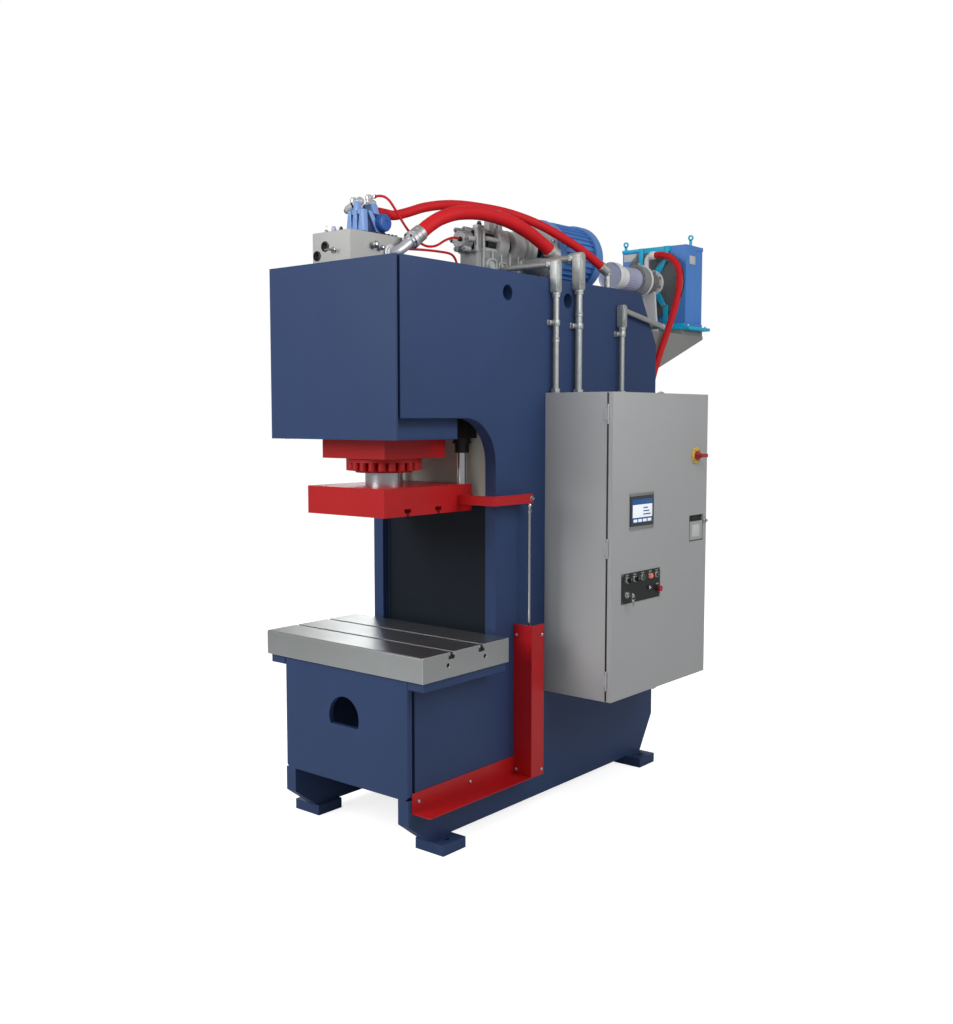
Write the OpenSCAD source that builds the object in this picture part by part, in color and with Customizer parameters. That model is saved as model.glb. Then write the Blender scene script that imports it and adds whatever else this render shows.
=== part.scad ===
// Hydraulic press with a C-shaped plate frame: ram in the head, slotted bolster on the base,
// electrical cabinet on the right side, pump set on the head and an oil cooler on the rear.
// X is to the right seen from the front, Y to the rear, Z up from the floor.

/* [Frame] */
// Width over the two side plates
frame_w = 812; // [760:1:900]
// Thickness of each side plate
side_t = 64; // [50:1:75]
// Height of the head top above the floor
frame_h = 2646; // [2600:1:2750]
// Head front face, forward of the anchor centre
head_reach = 1102; // [1090:1:1200]
// Rear face of the frame, behind the anchor centre
rear_reach = 1020; // [960:1:1060]
// Length of the sloped rear corner along the top
rear_slope_l = 171; // [120:1:220]
// Height of the sloped rear corner
rear_slope_h = 277; // [200:1:330]
// Diameter of the lifting holes
lift_d = 74; // [50:1:100]
// Distance between the two lifting holes of a side plate
lift_pitch = 493; // [400:1:600]

/* [Throat] */
// Height of the top edge of the throat
throat_top = 1955; // [1920:1:1990]
// Rear edge of the throat, forward of the anchor centre
throat_back = 429; // [420:1:440]
// Radius of the upper corner of the throat
throat_r = 215; // [150:1:260]
// Height of the lower edge of the grey upper panel
panel_low = 1560; // [1450:1:1650]

/* [Base and bed] */
// Front face of the base, forward of the anchor centre
base_reach = 1041; // [1020:1:1060]
// Thickness of the base front plate
front_t = 25; // [15:1:40]
// Height of the lower edge of the base front plate
front_low = 267; // [230:1:300]
// Radius of the chip hole in the base front plate
chip_r = 98; // [60:1:130]
// Height of the top of the bed plate
bed_h = 813; // [780:1:840]
// Thickness of the bed plate
bed_t = 42; // [30:1:60]
// Width of the bed plate
bed_w = 1004; // [960:1:1020]
// Width of the bolster
bolster_w = 1024; // [1010:1:1100]
// Depth of the bolster from front to rear
bolster_l = 598; // [560:1:620]
// Thickness of the bolster
bolster_t = 114; // [90:1:140]
// Height of the foot pads
foot_t = 50; // [30:1:70]
// Distance between the anchor holes across the press
anchor_x = 888; // [870:1:900]
// Distance between the anchor holes along the press
anchor_y = 1664; // [1600:1:1700]
// Diameter of the anchor holes
anchor_d = 30; // [20:1:40]

/* [Ram] */
// Ram axis, forward of the anchor centre
ram_reach = 765; // [755:1:775]
// Height of the underside of the cylinder housing
housing_low = 1860; // [1840:1:1880]
// Side of the square ram flange
flange_w = 406; // [380:1:430]
// Thickness of the ram flange
flange_t = 90; // [70:1:110]
// Diameter of the gland ring
gland_d = 356; // [340:1:370]
// Height of the gland below the flange
gland_h = 68; // [58:1:80]
// Number of gland screws
gland_screws_n = 22; // [16:1:24]
// Diameter of the ram rod
rod_d = 178; // [150:1:200]
// Length of ram rod that shows when the ram is up
rod_show = 61; // [40:1:90]
// Width of the platen
platen_w = 500; // [480:1:540]
// Front edge of the platen, forward of the ram axis
platen_front = 255; // [240:1:270]
// Rear edge of the platen, behind the ram axis
platen_rear = 345; // [340:1:350]
// Thickness of the platen
platen_t = 129; // [110:1:150]
// Travel of the ram
stroke = 457; // [300:1:460]
// Diameter of the guide rods
guide_d = 50; // [40:1:60]
// Distance between the two guide rods
guide_pitch = 440; // [420:1:450]
// Bore of the press cylinder
cylinder_d = 305; // [280:1:315]

/* [T-slots] */
// Distance between the two slots
slot_pitch = 208; // [160:1:240]
// Width of the slot neck
slot_neck = 20; // [14:1:26]
// Width of the slot head
slot_head = 43; // [34:1:50]
// Depth of the whole slot
slot_depth = 33; // [28:1:40]

/* [Position sensor] */
// Width of the red guard, out from the side plate
guard_w = 111; // [100:1:120]
// Depth of the upright guard from front to rear
guard_l = 99; // [90:1:110]
// Front face of the upright guard, forward of the anchor centre
guard_reach = 288; // [275:1:300]
// Height of the lower edge of the guard
guard_low = 207; // [190:1:230]
// Sheet thickness of the guard
guard_t = 4; // [3:0.5:6]
// Diameter of the sensor rod
sensor_d = 14; // [10:1:18]

/* [Cabinet] */
// Width of the cabinet along the side of the press
cab_w = 934; // [900:1:960]
// Height of the cabinet
cab_h = 1504; // [1450:1:1560]
// Depth of the cabinet with its door
cab_d = 398; // [360:1:430]
// Height of the cabinet's underside above the floor
cab_low = 577; // [540:1:620]
// Front edge of the cabinet, forward of the anchor centre
cab_reach = 35; // [20:1:60]
// Sheet thickness of the cabinet
cab_t = 3; // [2:0.5:5]
// Depth of the door pan
door_d = 24; // [20:1:32]

/* [Controls] */
// Width of the black button panel
keys_w = 363; // [340:1:390]
// Height of the black button panel
keys_h = 148; // [130:1:170]
// Diameter of the button collars
collar_d = 30; // [28:1:34]
// Diameter of the buttons
button_d = 22; // [18:1:24]
// Travel of the push buttons
button_travel = 4; // [3:0.5:5]
// Width of the operator screen
screen_w = 223; // [200:1:250]
// Height of the operator screen
screen_h = 179; // [160:1:200]
// Diameter of the yellow disconnect plate
disc_d = 88; // [70:1:100]

/* [Conduits] */
// Outside diameters of the three conduits
conduit_ds = [30, 36, 28]; // [20:1:44]
// Places of the three conduits behind the anchor centre
conduit_ys = [14, 212, 622]; // [0:1:800]
// Tops of the conduit bodies above the head's top, and of the last one above the shelf
conduit_rises = [89, 145, 103]; // [50:1:200]
// Distance from the side plate to the conduit axes
conduit_off = 26; // [24:1:34]

/* [Head hydraulics] */
// Width of the manifold block
block_w = 242; // [220:1:260]
// Length of the manifold block
block_l = 340; // [320:1:360]
// Height of the manifold block
block_h = 147; // [130:1:160]
// Front face of the manifold block, forward of the ram axis
block_front = 265; // [250:1:280]
// Right face of the manifold block, right of the ram axis
block_right = 57; // [45:1:70]
// Height of the directional valve body
valve_h = 150; // [130:1:160]

/* [Pump set] */
// Height of the pump shaft above the deck
shaft_h = 204; // [195:1:215]
// Diameter of the motor frame
motor_d = 360; // [340:1:375]
// Length of the motor with its cowl
motor_l = 400; // [380:1:430]
// Front face of the motor, behind the anchor centre
motor_front = 430; // [420:1:440]
// Front face of the pump, forward of the anchor centre
pump_reach = 224; // [215:1:235]
// Number of cooling fins round the motor
motor_fins = 36; // [24:4:44]

/* [Cooling unit] */
// Drop of the top of the rear shelf below the top of the frame
shelf_drop = 189; // [156:1:226]
// Width of the rear shelf
shelf_w = 664; // [640:1:680]
// Length of the rear shelf behind the frame
shelf_l = 680; // [660:1:720]
// Width of the cooler box
cooler_w = 444; // [430:1:460]
// Depth of the cooler box
cooler_d = 210; // [190:1:230]
// Height of the cooler box
cooler_h = 489; // [470:1:510]
// Front face of the cooler box, behind the frame
cooler_back = 460; // [450:1:480]
// Axis of the fan, right of the press centre
fan_x = 110; // [95:1:110]
// Height of the fan axis above the shelf
fan_up = 318; // [300:1:330]
// Diameter of the fan opening
fan_d = 424; // [400:1:430]
// Number of fan blades
fan_blades = 6; // [4:1:8]

/* [Hidden] */
$fn = 48;

// Shared clearances and the overrun of every cut
over = 2;
play = 0.05;
slack = 0.3;

// Places shared by many pieces
half = frame_w / 2;
inner = half - side_t;
cover_t = 8;
cover_gap = 16;
rim_in = 14;
side_front = head_reach - cover_t - cover_gap;
jaw_h = bed_h - bed_t;
front_gap = 18;
notch_y = base_reach - front_t - front_gap;
bolster_top = bed_h + bolster_t;
bolster_over = 19;
bolster_y = -base_reach - bolster_over;
slot_mid = -ram_reach;
slot_head_share = 0.55;
platen_top = housing_low - flange_t - gland_h - rod_show;
platen_low = platen_top - platen_t;
deck_t = 12;
cab_face = half + cab_d;
cab_y = -cab_reach;
cab_top = cab_low + cab_h;
shaft_z = frame_h + shaft_h;
shelf_h = frame_h - shelf_drop;
fan_y = rear_reach + cooler_back;
fan_z = shelf_h + fan_up;

// Side plates
leg_cut_l = 134;
leg_cut_h = 102;
rear_cut_l = 124;
rear_cut_h = 195;
lift_drop = 100;
lift_front = 340;

// Feet
pad_in = 81;
pad_w = 169;
pad_l = 154;

// Head and throat pieces
housing_rear = 133;
housing_t = 140;
barrel_neck = 380;
barrel_d = 440;
barrel_cap = 90;
neck_fit = 0.5;
back_t = 25;
panel_t = 10;
throat_set = 44;
rear_t = 24;
chip_drop = 236;
chip_flat = 40;
front_edge = 6;
front_corner = 20;
bed_rear = 477;
tapped_d = 20;
tapped_l = 40;
tapped_out = 24;
tapped_drop = 57;
bolster_edge = 5;

// Ram pieces
gland_plate = 20;
gland_hub_d = 270;
screw_d = 36;
screw_h = 38;
socket_d = 20;
socket_h = 16;
piston_t = 110;
piston_room = 50;
guide_back = 308;
guide_spare = 92;
bush_flange_d = 90;
bush_flange_t = 25;
bush_d = 70;
bush_l = 45;
guide_block_w = 100;
guide_block_h = 100;
guide_block_over = 50;

// Sensor pieces
sensor_x = half + guard_w / 2;
sensor_y = -guard_reach + guard_l / 2;
arm_h = 44;
arm_t = 25;
arm_drop = 50;
arm_pad_l = 100;
arm_pad_t = 12;
arm_back = 240;
ball_d = 24;
sensor_in = 60;
sensor_tube_d = 40;
sensor_tube_end = 60;
sensor_clamp_h = 40;
sensor_clamp_l = 50;
guard_rise = 30;
guard_top = bolster_top + guard_rise;
guard_flange_h = 92;
guard_set = 21;
guard_front = base_reach - guard_set;

// Cabinet pieces
cab_gap = 4;
cab_lip = 18;
door_in = 3;
hinge_d = 10;
hinge_pin_d = 5;
hinge_h = 60;
hinge_knuckle = 18;
hinge_off = 5;
hinge_shares = [0.07, 0.5, 0.93];
panel_off = 12;
panel_edge = 60;
panel_pin_d = 12;

// Devices on the mounting panel: place and size as shares of the panel, then depth
device_shares = [
    [0.04, 0.70, 0.30, 0.24], [0.40, 0.76, 0.22, 0.18], [0.68, 0.72, 0.26, 0.22],
    [0.04, 0.42, 0.16, 0.16], [0.24, 0.42, 0.16, 0.16], [0.44, 0.42, 0.16, 0.16],
    [0.66, 0.36, 0.28, 0.26], [0.04, 0.10, 0.90, 0.06], [0.04, 0.24, 0.55, 0.08]
];
device_depths = [150, 110, 130, 90, 90, 90, 180, 60, 70];

// Controls on the door
keys_y = 52;
keys_z = 1048;
keys_t = 3;
collar_h = 8;
keys_row_z = 116;
keys_low_z = 44;
keys_shares = [0.135, 0.325, 0.528, 0.729, 0.902];
key_share = 0.124;
dial_share = 0.686;
stop_share = 0.925;
button_out = 5;
stop_out = 12;
knob_h = 16;
knob_w = 8;
key_t = 2.5;
key_bow = 24;
key_stem = 14;
key_hang = 55;
key_ring_d = 22;
dial_d = 16;
dial_drop = 14;
screen_y = 118;
screen_z = 1409;
screen_t = 7;
screen_bar = 16;
screen_bezel = 14;
disc_y = 774;
disc_z = 1758;
disc_t = 8;
grip_l = 70;
grip_w = 20;
grip_h = 34;
grip_base_d = 48;
grip_base_h = 14;
latch_y = 715;
latch_z = 1300;
latch_w = 150;
latch_h = 140;
latch_t = 12;
latch_rim = 8;
latch_pocket = 34;
latch_pin_d = 6;
latch_x = cab_face - latch_t + latch_rim / 2;
latch_pin_z = latch_z + latch_rim + latch_pin_d / 2;

// Conduits
body_ws = [44, 50, 42];
body_hs = [164, 190, 122];
nut_h = 24;
nut_over = 10;
clamp_h = 28;
clamp_t = 6;
clamp_foot = 9;
clamp_ear = 26;
conduit_tops = [frame_h + conduit_rises[0], frame_h + conduit_rises[1], shelf_h + conduit_rises[2]];
clamp_shares = [0.676, 0.629, 0.866];
coupling_shares = [0.508, 0.748];
conduit_drop = [20, 26];
rise_dir = [0, 402, -60];
shelf_box_w = 40;
rise_start = [half + conduit_off, conduit_ys[2] + body_ws[2] / 2, conduit_tops[2] - conduit_ds[2]];
rise_end = rise_start + rise_dir;

// Manifold, valve and prefill pipe
block_x = block_right - block_w;
block_y = -ram_reach - block_front;
block_z = frame_h + block_h;
port_d = 34;
port_deep = 20;
port_z_shares = [0.56, 0.30];
port_x_shares = [0.34, 0.12];
handle_stem_d = 12;
handle_stem_l = 30;
handle_bar_d = 9;
handle_bar_l = 54;
handle_x = block_x + 0.58 * block_w;
handle_z = frame_h + 0.42 * block_h;
valve_w = 110;
valve_l = 160;
valve_x = -105;
valve_y_off = 135;
valve_rib = 7;
valve_ribs = 6;
valve_cover_d = 92;
valve_cover_l = 34;
solenoid_d = 38;
solenoid_l = 70;
plug_w = 30;
plug_h = 42;
pipe_d = 50;
pipe_bend = 90;
pipe_rise = 36;
pipe_flange_d = 84;
pipe_flange_t = 18;

// Pump, bell housing and motor
pump_flange_t = 26;
pump_rear = conduit_ys[1] + (conduit_ds[1] + nut_over) / 2 + slack + pump_flange_t;
bell_l = motor_front - pump_rear;
pump_end_d = 122;
pump_end_l = 62;
pump_neck_w = 104;
pump_neck_l = 96;
pump_body_d = 170;
pump_flange_d = 200;
pump_foot_w = 120;
pump_port_d = 70;
pump_port_l = 40;
pump_lobe_d = 60;
pump_bolt_d = 14;
bell_small = 200;
bell_large = 300;
bell_wall = 14;
bell_ring = 20;
bell_window_w = 90;
bell_window_l = 90;
hub_d = 90;
hub_l = 60;
spider_l = 24;
shaft_d = 42;
shaft_in = 40;
fin_h = 15;
fin_t = 4;
cowl_l = 90;
cowl_d = 372;
cowl_round = 30;
end_shield = 30;
foot_w = 320;
foot_bar = 60;
foot_plate = 20;
box_w = 70;
box_l = 130;
box_h = 110;

// Cooling unit
shelf_t = 8;
gusset_t = 8;
gusset_root = 268;
gusset_tip = 20;
rail_h = 46;
rail_over = 50;
rail_front = 40;
rail_t = 8;
cooler_x = fan_x - cooler_w / 2;
cooler_low = shelf_h + rail_h;
cooler_wall = 4;
core_d = 100;
core_slots = 21;
core_slot_t = 9;
core_slot_deep = 12;
core_edge = 26;
eye_t = 8;
eye_w = 34;
eye_h = 70;
eye_hole = 18;
guard_wire = 5;
guard_rings = 6;
strut_w = 26;
strut_t = 8;
strut_angles = [52, 128, 232, 308];
fan_hub_d = 90;
fan_hub_l = 40;
fan_set = 16;
blade_t = 3;
blade_pitch = 32;
blade_gap = 12;
blade_w = 96;
cm_shaft_d = 24;
cm_shaft_in = 20;
cm_cowl_d = 160;
cm_cowl_l = 46;
cm_front = -27;
cm_body_d = 136;
cm_body_l = 211;
cm_disc_d = 186;
cm_disc_l = 80;
cm_neck_d = 128;
cm_flange_d = 156;
cm_flange_t = 22;
cm_foot_w = 130;
cm_foot_top = 80;
cm_foot_t = 16;
cm_boss_h = 76;

// Routes of the hoses and lines, from the fitting they leave to the one they enter: heights are
// above the head's top, and above the shelf for the cooler's hose
prefill_od = 68;
prefill_route = lifted(frame_h, [
    [110, -620, 176], [117, -568, 215], [128, -500, 255], [144, -390, 292], [162, -220, 309],
    [182, -40, 292], [200, 100, 251], [215, 185, 210], [226, 232, 181]
]);
return_od = 46;
return_route = lifted(frame_h, [
    [-26, -720, 262], [-26, -665, 262], [-20, -585, 284], [0, -465, 326], [24, -300, 358],
    [52, -100, 368], [98, 80, 356], [162, 245, 314], [230, 400, 244], [276, 520, 180], [300, 605, 130]
]);
cooler_od = 38;
cooler_route = lifted(shelf_h, [
    [168, 1400, 475], [212, 1400, 473], [262, 1400, 457], [306, 1397, 425], [336, 1390, 375],
    [351, 1373, 305], [361, 1322, 183], [368, 1235, 43], [366, 1145, -107], [354, 1090, -237],
    [341, 1073, -337], [336, 1070, -397]
]);
line_od = 12;
pilot_route = lifted(frame_h, [
    [-35, -775, 334], [-12, -775, 334], [16, -771, 328], [36, -761, 313], [46, -744, 289],
    [50, -704, 243], [53, -654, 192], [54, -596, 152], [46, -520, 131], [32, -430, 143],
    [20, -345, 181], [14, -278, 202], [14, -224, 202]
]);
pump_line_route = lifted(frame_h, [
    [30, -690, 104], [30, -652, 104], [35, -600, 107], [46, -520, 111], [58, -440, 112],
    [62, -370, 111], [62, -338, 103], [62, -315, 80], [62, -306, 48], [62, -306, 24]
]);
cord_sides = 10;
collar_over = 12;
collar_l = 60;
elbow_over = 6;

// Box between two opposite corners
module span(a, b) {
    translate(a) cube(b - a);
}

// Round bars along each axis
module bar_x(p, d, l) {
    translate(p) rotate([0, 90, 0]) cylinder(d = d, h = l);
}
module bar_y(p, d, l) {
    translate(p) rotate([-90, 0, 0]) cylinder(d = d, h = l);
}
module bar_z(p, d, l) {
    translate(p) cylinder(d = d, h = l);
}

// Round bar from a point along a direction
module bar_to(p, dir, d, l) {
    translate(p) rotate([0, acos(dir.z / norm(dir)), atan2(dir.y, dir.x)]) cylinder(d = d, h = l);
}

// Plate cut to a Y-Z outline, with its left face at x
module plate_x(x, t) {
    translate([x, 0, 0]) rotate([90, 0, 90]) linear_extrude(t) children();
}

// Plate cut to an X-Z outline, with its front face at y
module plate_y(y, t) {
    translate([0, y + t, 0]) rotate([90, 0, 0]) linear_extrude(t) children();
}

// T-shaped groove along X, open at z towards up (1) or down (-1)
module slot_x(y, z, up, w) {
    head_h = slot_depth * slot_head_share;
    translate([0, y, z]) scale([1, 1, up]) {
        span([-w / 2 - over, -slot_neck / 2, -slot_depth], [w / 2 + over, slot_neck / 2, over]);
        span([-w / 2 - over, -slot_head / 2, -slot_depth],
            [w / 2 + over, slot_head / 2, head_h - slot_depth]);
    }
}

// Smooth path through a route's points, and the tube swept along it
function smooth(p, i, t) =
    let(n = len(p), a = p[max(i - 1, 0)], b = p[i], c = p[i + 1], d = p[min(i + 2, n - 1)])
    let(l = norm(c - b), m0 = i == 0 ? c - b : l * unit(c - a), m1 = i == n - 2 ? c - b : l * unit(d - b))
    (2 * t * t * t - 3 * t * t + 1) * b + (t * t * t - 2 * t * t + t) * m0
    + (3 * t * t - 2 * t * t * t) * c + (t * t * t - t * t) * m1;
function path(p, steps) = [
    for (i = [0:len(p) - 2]) for (k = [0:steps - 1]) smooth(p, i, k / steps),
    p[len(p) - 1]
];
function lifted(h, route) = [for (p = route) p + [0, 0, h]];
function unit(v) = v / norm(v);
function heading(p, i) = unit(p[min(i + 1, len(p) - 1)] - p[max(i - 1, 0)]);
function leaving(p) = unit(p[1] - p[0]);
function arriving(p) = unit(p[len(p) - 1] - p[len(p) - 2]);
function ring(c, t, r, ref) =
    let(a = unit(cross(t, ref)), b = cross(t, a))
    [for (k = [0:cord_sides - 1]) c + r * (cos(360 * k / cord_sides) * a + sin(360 * k / cord_sides) * b)];
module cord(route, d, steps, ref) {
    p = path(route, steps);
    n = len(p);
    rings = [
        for (i = [0:n - 1]) let(t = i == 0 ? leaving(route) : i == n - 1 ? arriving(route) : heading(p, i))
        ring(p[i], t, d / 2, ref)
    ];
    points = [for (r = rings) each r];
    sides = [
        for (i = [0:n - 2]) for (k = [0:cord_sides - 1]) let(j = (k + 1) % cord_sides)
        [i * cord_sides + k, (i + 1) * cord_sides + k, (i + 1) * cord_sides + j, i * cord_sides + j]
    ];
    first = [for (k = [0:cord_sides - 1]) k];
    last = [for (k = [cord_sides - 1:-1:0]) (n - 1) * cord_sides + k];
    polyhedron(points, concat(sides, [first, last]));
}

// Outline of a side plate: head, throat with its round corner, lower jaw, legs and sloped rear corners
module side_outline() {
    difference() {
        union() {
            polygon([
                [-base_reach, foot_t + leg_cut_h], [-base_reach + leg_cut_l, foot_t],
                [rear_reach - rear_cut_l, foot_t], [rear_reach, foot_t + rear_cut_h],
                [rear_reach, frame_h - rear_slope_h], [rear_reach - rear_slope_l, frame_h],
                [-side_front, frame_h], [-side_front, throat_top], [-throat_back, throat_top],
                [-throat_back, jaw_h], [-notch_y, jaw_h], [-notch_y, front_low], [-base_reach, front_low]
            ]);
            translate([-throat_back - throat_r, throat_top - throat_r]) square(throat_r);
        }
        translate([-throat_back - throat_r, throat_top - throat_r]) circle(r = throat_r);
        for (y = [-lift_front, lift_pitch - lift_front])
            translate([y, frame_h - lift_drop]) circle(d = lift_d);
    }
}
module side_plate_left() {
    color("#26386a") plate_x(-half, side_t) side_outline();
}
module side_plate_right() {
    color("#26386a") plate_x(inner, side_t) side_outline();
}

// Head cover: a plate that stands off the frame on a set-back rim
module head_front_plate() {
    color("#425070") {
        span([-half, -head_reach, housing_low], [half, -head_reach + cover_t, frame_h]);
        span([rim_in - half, -head_reach + cover_t, housing_low + rim_in],
            [half - rim_in, -side_front, frame_h - rim_in]);
    }
}

// Block between the side plates that carries the press cylinder
module cylinder_housing() {
    color("#3d4c74") difference() {
        span([-inner, -side_front, housing_low], [inner, housing_rear - ram_reach,
            housing_low + housing_t]);
        bar_z([0, -ram_reach, housing_low - over], barrel_neck + 2 * neck_fit, housing_t + 2 * over);
    }
}
module throat_back_plate() {
    color("#191c23")
        span([-inner, throat_set - throat_back, jaw_h], [inner, throat_set - throat_back + back_t,
            panel_low]);
}
module throat_upper_panel() {
    color("#8a8a84")
        span([-inner, throat_set - throat_back, panel_low],
            [inner, throat_set - throat_back + panel_t, frame_h - deck_t]);
}
module deck_plate() {
    color("#26386a")
        span([-inner, -side_front, frame_h - deck_t], [inner, rear_reach - rear_slope_l, frame_h]);
}

// Rear plate, folded forward at the sloped corner
module rear_plate() {
    slope = [rear_slope_l, -rear_slope_h] / norm([rear_slope_l, rear_slope_h]);
    lean = rear_t * (1 + slope.y) / slope.x;
    color("#26386a") plate_x(-inner, 2 * inner) polygon([
        [rear_reach - rear_t, foot_t + rear_cut_h], [rear_reach, foot_t + rear_cut_h],
        [rear_reach, frame_h - rear_slope_h], [rear_reach - rear_slope_l, frame_h],
        [rear_reach - rear_slope_l, frame_h - deck_t - rear_t],
        [rear_reach - rear_t, frame_h - rear_slope_h - rear_t + lean]
    ]);
}

// Bed plate on the lower jaws, notched in front for the base front plate
module bed_plate() {
    color("#2b3a63") difference() {
        span([-bed_w / 2, -base_reach, jaw_h], [bed_w / 2, -bed_rear, bed_h]);
        span([-half, -base_reach - over, jaw_h - over], [half, front_t - base_reach, bed_h + over]);
    }
}
module bolster() {
    rear = bolster_y + bolster_l;
    color("#97999a") difference() {
        plate_x(-bolster_w / 2, bolster_w) polygon([
            [bolster_y, bed_h], [rear, bed_h], [rear, bolster_top], [bolster_y + bolster_edge, bolster_top],
            [bolster_y, bolster_top - bolster_edge]
        ]);
        for (side = [-1, 1]) {
            slot_x(slot_mid + side * slot_pitch / 2, bolster_top, 1, bolster_w);
            for (y = [-1, 1])
                bar_x([side > 0 ? bolster_w / 2 - tapped_l : -bolster_w / 2 - over,
                    slot_mid + y * (slot_pitch / 2 + tapped_out), bolster_top - tapped_drop],
                    tapped_d, tapped_l + over);
        }
    }
}

// Base front plate with a D-shaped chip hole
module base_front_plate() {
    hole_z = bed_h - chip_drop;
    color("#34456f") difference() {
        plate_y(-base_reach, front_t) difference() {
            polygon([
                [front_corner - half, front_low], [half - front_corner, front_low],
                [half, front_low + front_corner], [half, bed_h], [-half, bed_h],
                    [-half, front_low + front_corner]
            ]);
            intersection() {
                translate([0, hole_z]) circle(r = chip_r);
                translate([-chip_r - over, hole_z - chip_flat]) square(2 * (chip_r + over));
            }
        }
        for (side = [-1, 1])
            translate([side * half, -base_reach, (front_low + bed_h) / 2]) rotate([0, 0, 45])
                cube([front_edge * sqrt(2), front_edge * sqrt(2), bed_h], center = true);
    }
}
module foot_pads() {
    color("#26386a") for (sx = [-1, 1]) for (sy = [-1, 1]) {
        x0 = sx > 0 ? half - pad_in : -half + pad_in - pad_w;
        y0 = sy * anchor_y / 2 - pad_l / 2;
        difference() {
            span([x0, y0, 0], [x0 + pad_w, y0 + pad_l, foot_t]);
            bar_z([sx * anchor_x / 2, sy * anchor_y / 2, -over], anchor_d, foot_t + 2 * over);
        }
    }
}

// Press cylinder: a neck through the housing, a shoulder on it and a closed top under the deck
module cylinder_barrel() {
    color("#6f7378") difference() {
        union() {
            bar_z([0, -ram_reach, housing_low], barrel_neck, housing_t);
            bar_z([0, -ram_reach, housing_low + housing_t], barrel_d,
                frame_h - deck_t - housing_low - housing_t);
        }
        bar_z([0, -ram_reach, housing_low - over], cylinder_d,
            frame_h - deck_t - barrel_cap - housing_low + over);
    }
}
module ram_flange() {
    z = housing_low - flange_t;
    color("#b02a2c") difference() {
        span([-flange_w / 2, -ram_reach - flange_w / 2, z],
            [flange_w / 2, flange_w / 2 - ram_reach, housing_low]);
        bar_z([0, -ram_reach, z - over], rod_d + 2 * over, flange_t + 2 * over);
    }
}
module gland_ring() {
    z = housing_low - flange_t;
    color("#b02a2c") difference() {
        union() {
            bar_z([0, -ram_reach, z - gland_plate], gland_d, gland_plate);
            bar_z([0, -ram_reach, z - gland_h], gland_hub_d, gland_h);
        }
        bar_z([0, -ram_reach, z - gland_h - over], rod_d + 2 * play, gland_h + 2 * over);
    }
}
module gland_screws() {
    z = housing_low - flange_t - gland_plate - screw_h;
    color("#a02024") for (k = [0:gland_screws_n - 1])
        translate([0, -ram_reach, z]) rotate(360 * k / gland_screws_n)
            translate([(gland_d - screw_d) / 2, 0, 0])
            difference() {
                cylinder(d = screw_d, h = screw_h, $fn = 24);
                translate([0, 0, -over]) cylinder(d = socket_d, h = socket_h + over, $fn = 6);
            }
}

// Ram rod turned in one with its piston
module ram_rod() {
    top = frame_h - deck_t - barrel_cap - piston_room;
    color("#c9ccd0") {
        bar_z([0, -ram_reach, platen_top], rod_d, top - piston_t - platen_top);
        bar_z([0, -ram_reach, top - piston_t], cylinder_d - 2 * play, piston_t);
    }
}
module platen() {
    color("#b52b2e") difference() {
        span([-platen_w / 2, -ram_reach - platen_front, platen_low],
            [platen_w / 2, platen_rear - ram_reach, platen_top]);
        for (side = [-1, 1]) slot_x(slot_mid + side * slot_pitch / 2, platen_low, -1, platen_w);
    }
}
module guide_rods() {
    top = housing_low + stroke + guide_spare;
    color("#d3d6d9") for (side = [-1, 1])
        bar_z([side * guide_pitch / 2, guide_back - ram_reach, platen_top], guide_d, top - platen_top);
}

// Guide blocks behind the housing, each with a flanged bushing below it
module guide_blocks() {
    y = guide_back - ram_reach;
    color("#2a2a2d") for (side = [-1, 1]) {
        x = side * guide_pitch / 2;
        difference() {
            union() {
                span([x - guide_block_w / 2, housing_rear - ram_reach, housing_low],
                    [x + guide_block_w / 2, y + guide_block_over, housing_low + guide_block_h]);
                bar_z([x, y, housing_low - bush_flange_t], bush_flange_d, bush_flange_t);
                bar_z([x, y, housing_low - bush_flange_t - bush_l], bush_d, bush_l);
            }
            bar_z([x, y, housing_low - bush_flange_t - bush_l - over], guide_d + 2 * play,
                guide_block_h + bush_flange_t + bush_l + 2 * over);
        }
    }
}

// Arm from the platen, out past the side plate and back to the sensor rod
module sensor_arm() {
    z = platen_top - arm_drop;
    y0 = -ram_reach + arm_back;
    color("#a81f22") {
        span([platen_w / 2, y0, z - arm_h], [platen_w / 2 + arm_pad_t, y0 + arm_pad_l, z]);
        span([platen_w / 2 + arm_pad_t, y0, z - arm_h], [sensor_x + arm_t / 2, y0 + arm_t, z]);
        span([sensor_x - arm_t / 2, y0 + arm_t, z - arm_h],
            [sensor_x + arm_t / 2, sensor_y + arm_t / 2, z]);
    }
}
module sensor_rod() {
    z = platen_top - arm_drop - arm_h;
    color("#d0d3d6") {
        bar_z([sensor_x, sensor_y, guard_top - sensor_in], sensor_d, z - guard_top + sensor_in);
        intersection() {
            translate([sensor_x, sensor_y, z - ball_d / 2]) sphere(d = ball_d);
            span([sensor_x - ball_d, sensor_y - ball_d, z - ball_d],
                [sensor_x + ball_d, sensor_y + ball_d, z]);
        }
    }
}

// Tube that the sensor rod runs into, held on the side plate by two clamps
module sensor_tube() {
    bottom = guard_top - sensor_in - stroke - sensor_tube_end;
    top = guard_top - sensor_in / 4;
    color("#8c9094") difference() {
        union() {
            bar_z([sensor_x, sensor_y, bottom], sensor_tube_d, top - bottom);
            for (z = [bottom, top - sensor_clamp_h])
                span([half, sensor_y - sensor_clamp_l / 2, z],
                    [sensor_x, sensor_y + sensor_clamp_l / 2, z + sensor_clamp_h]);
        }
        bar_z([sensor_x, sensor_y, bottom + sensor_tube_end / 2], sensor_d + 2 * play, top - bottom);
    }
}

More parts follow.
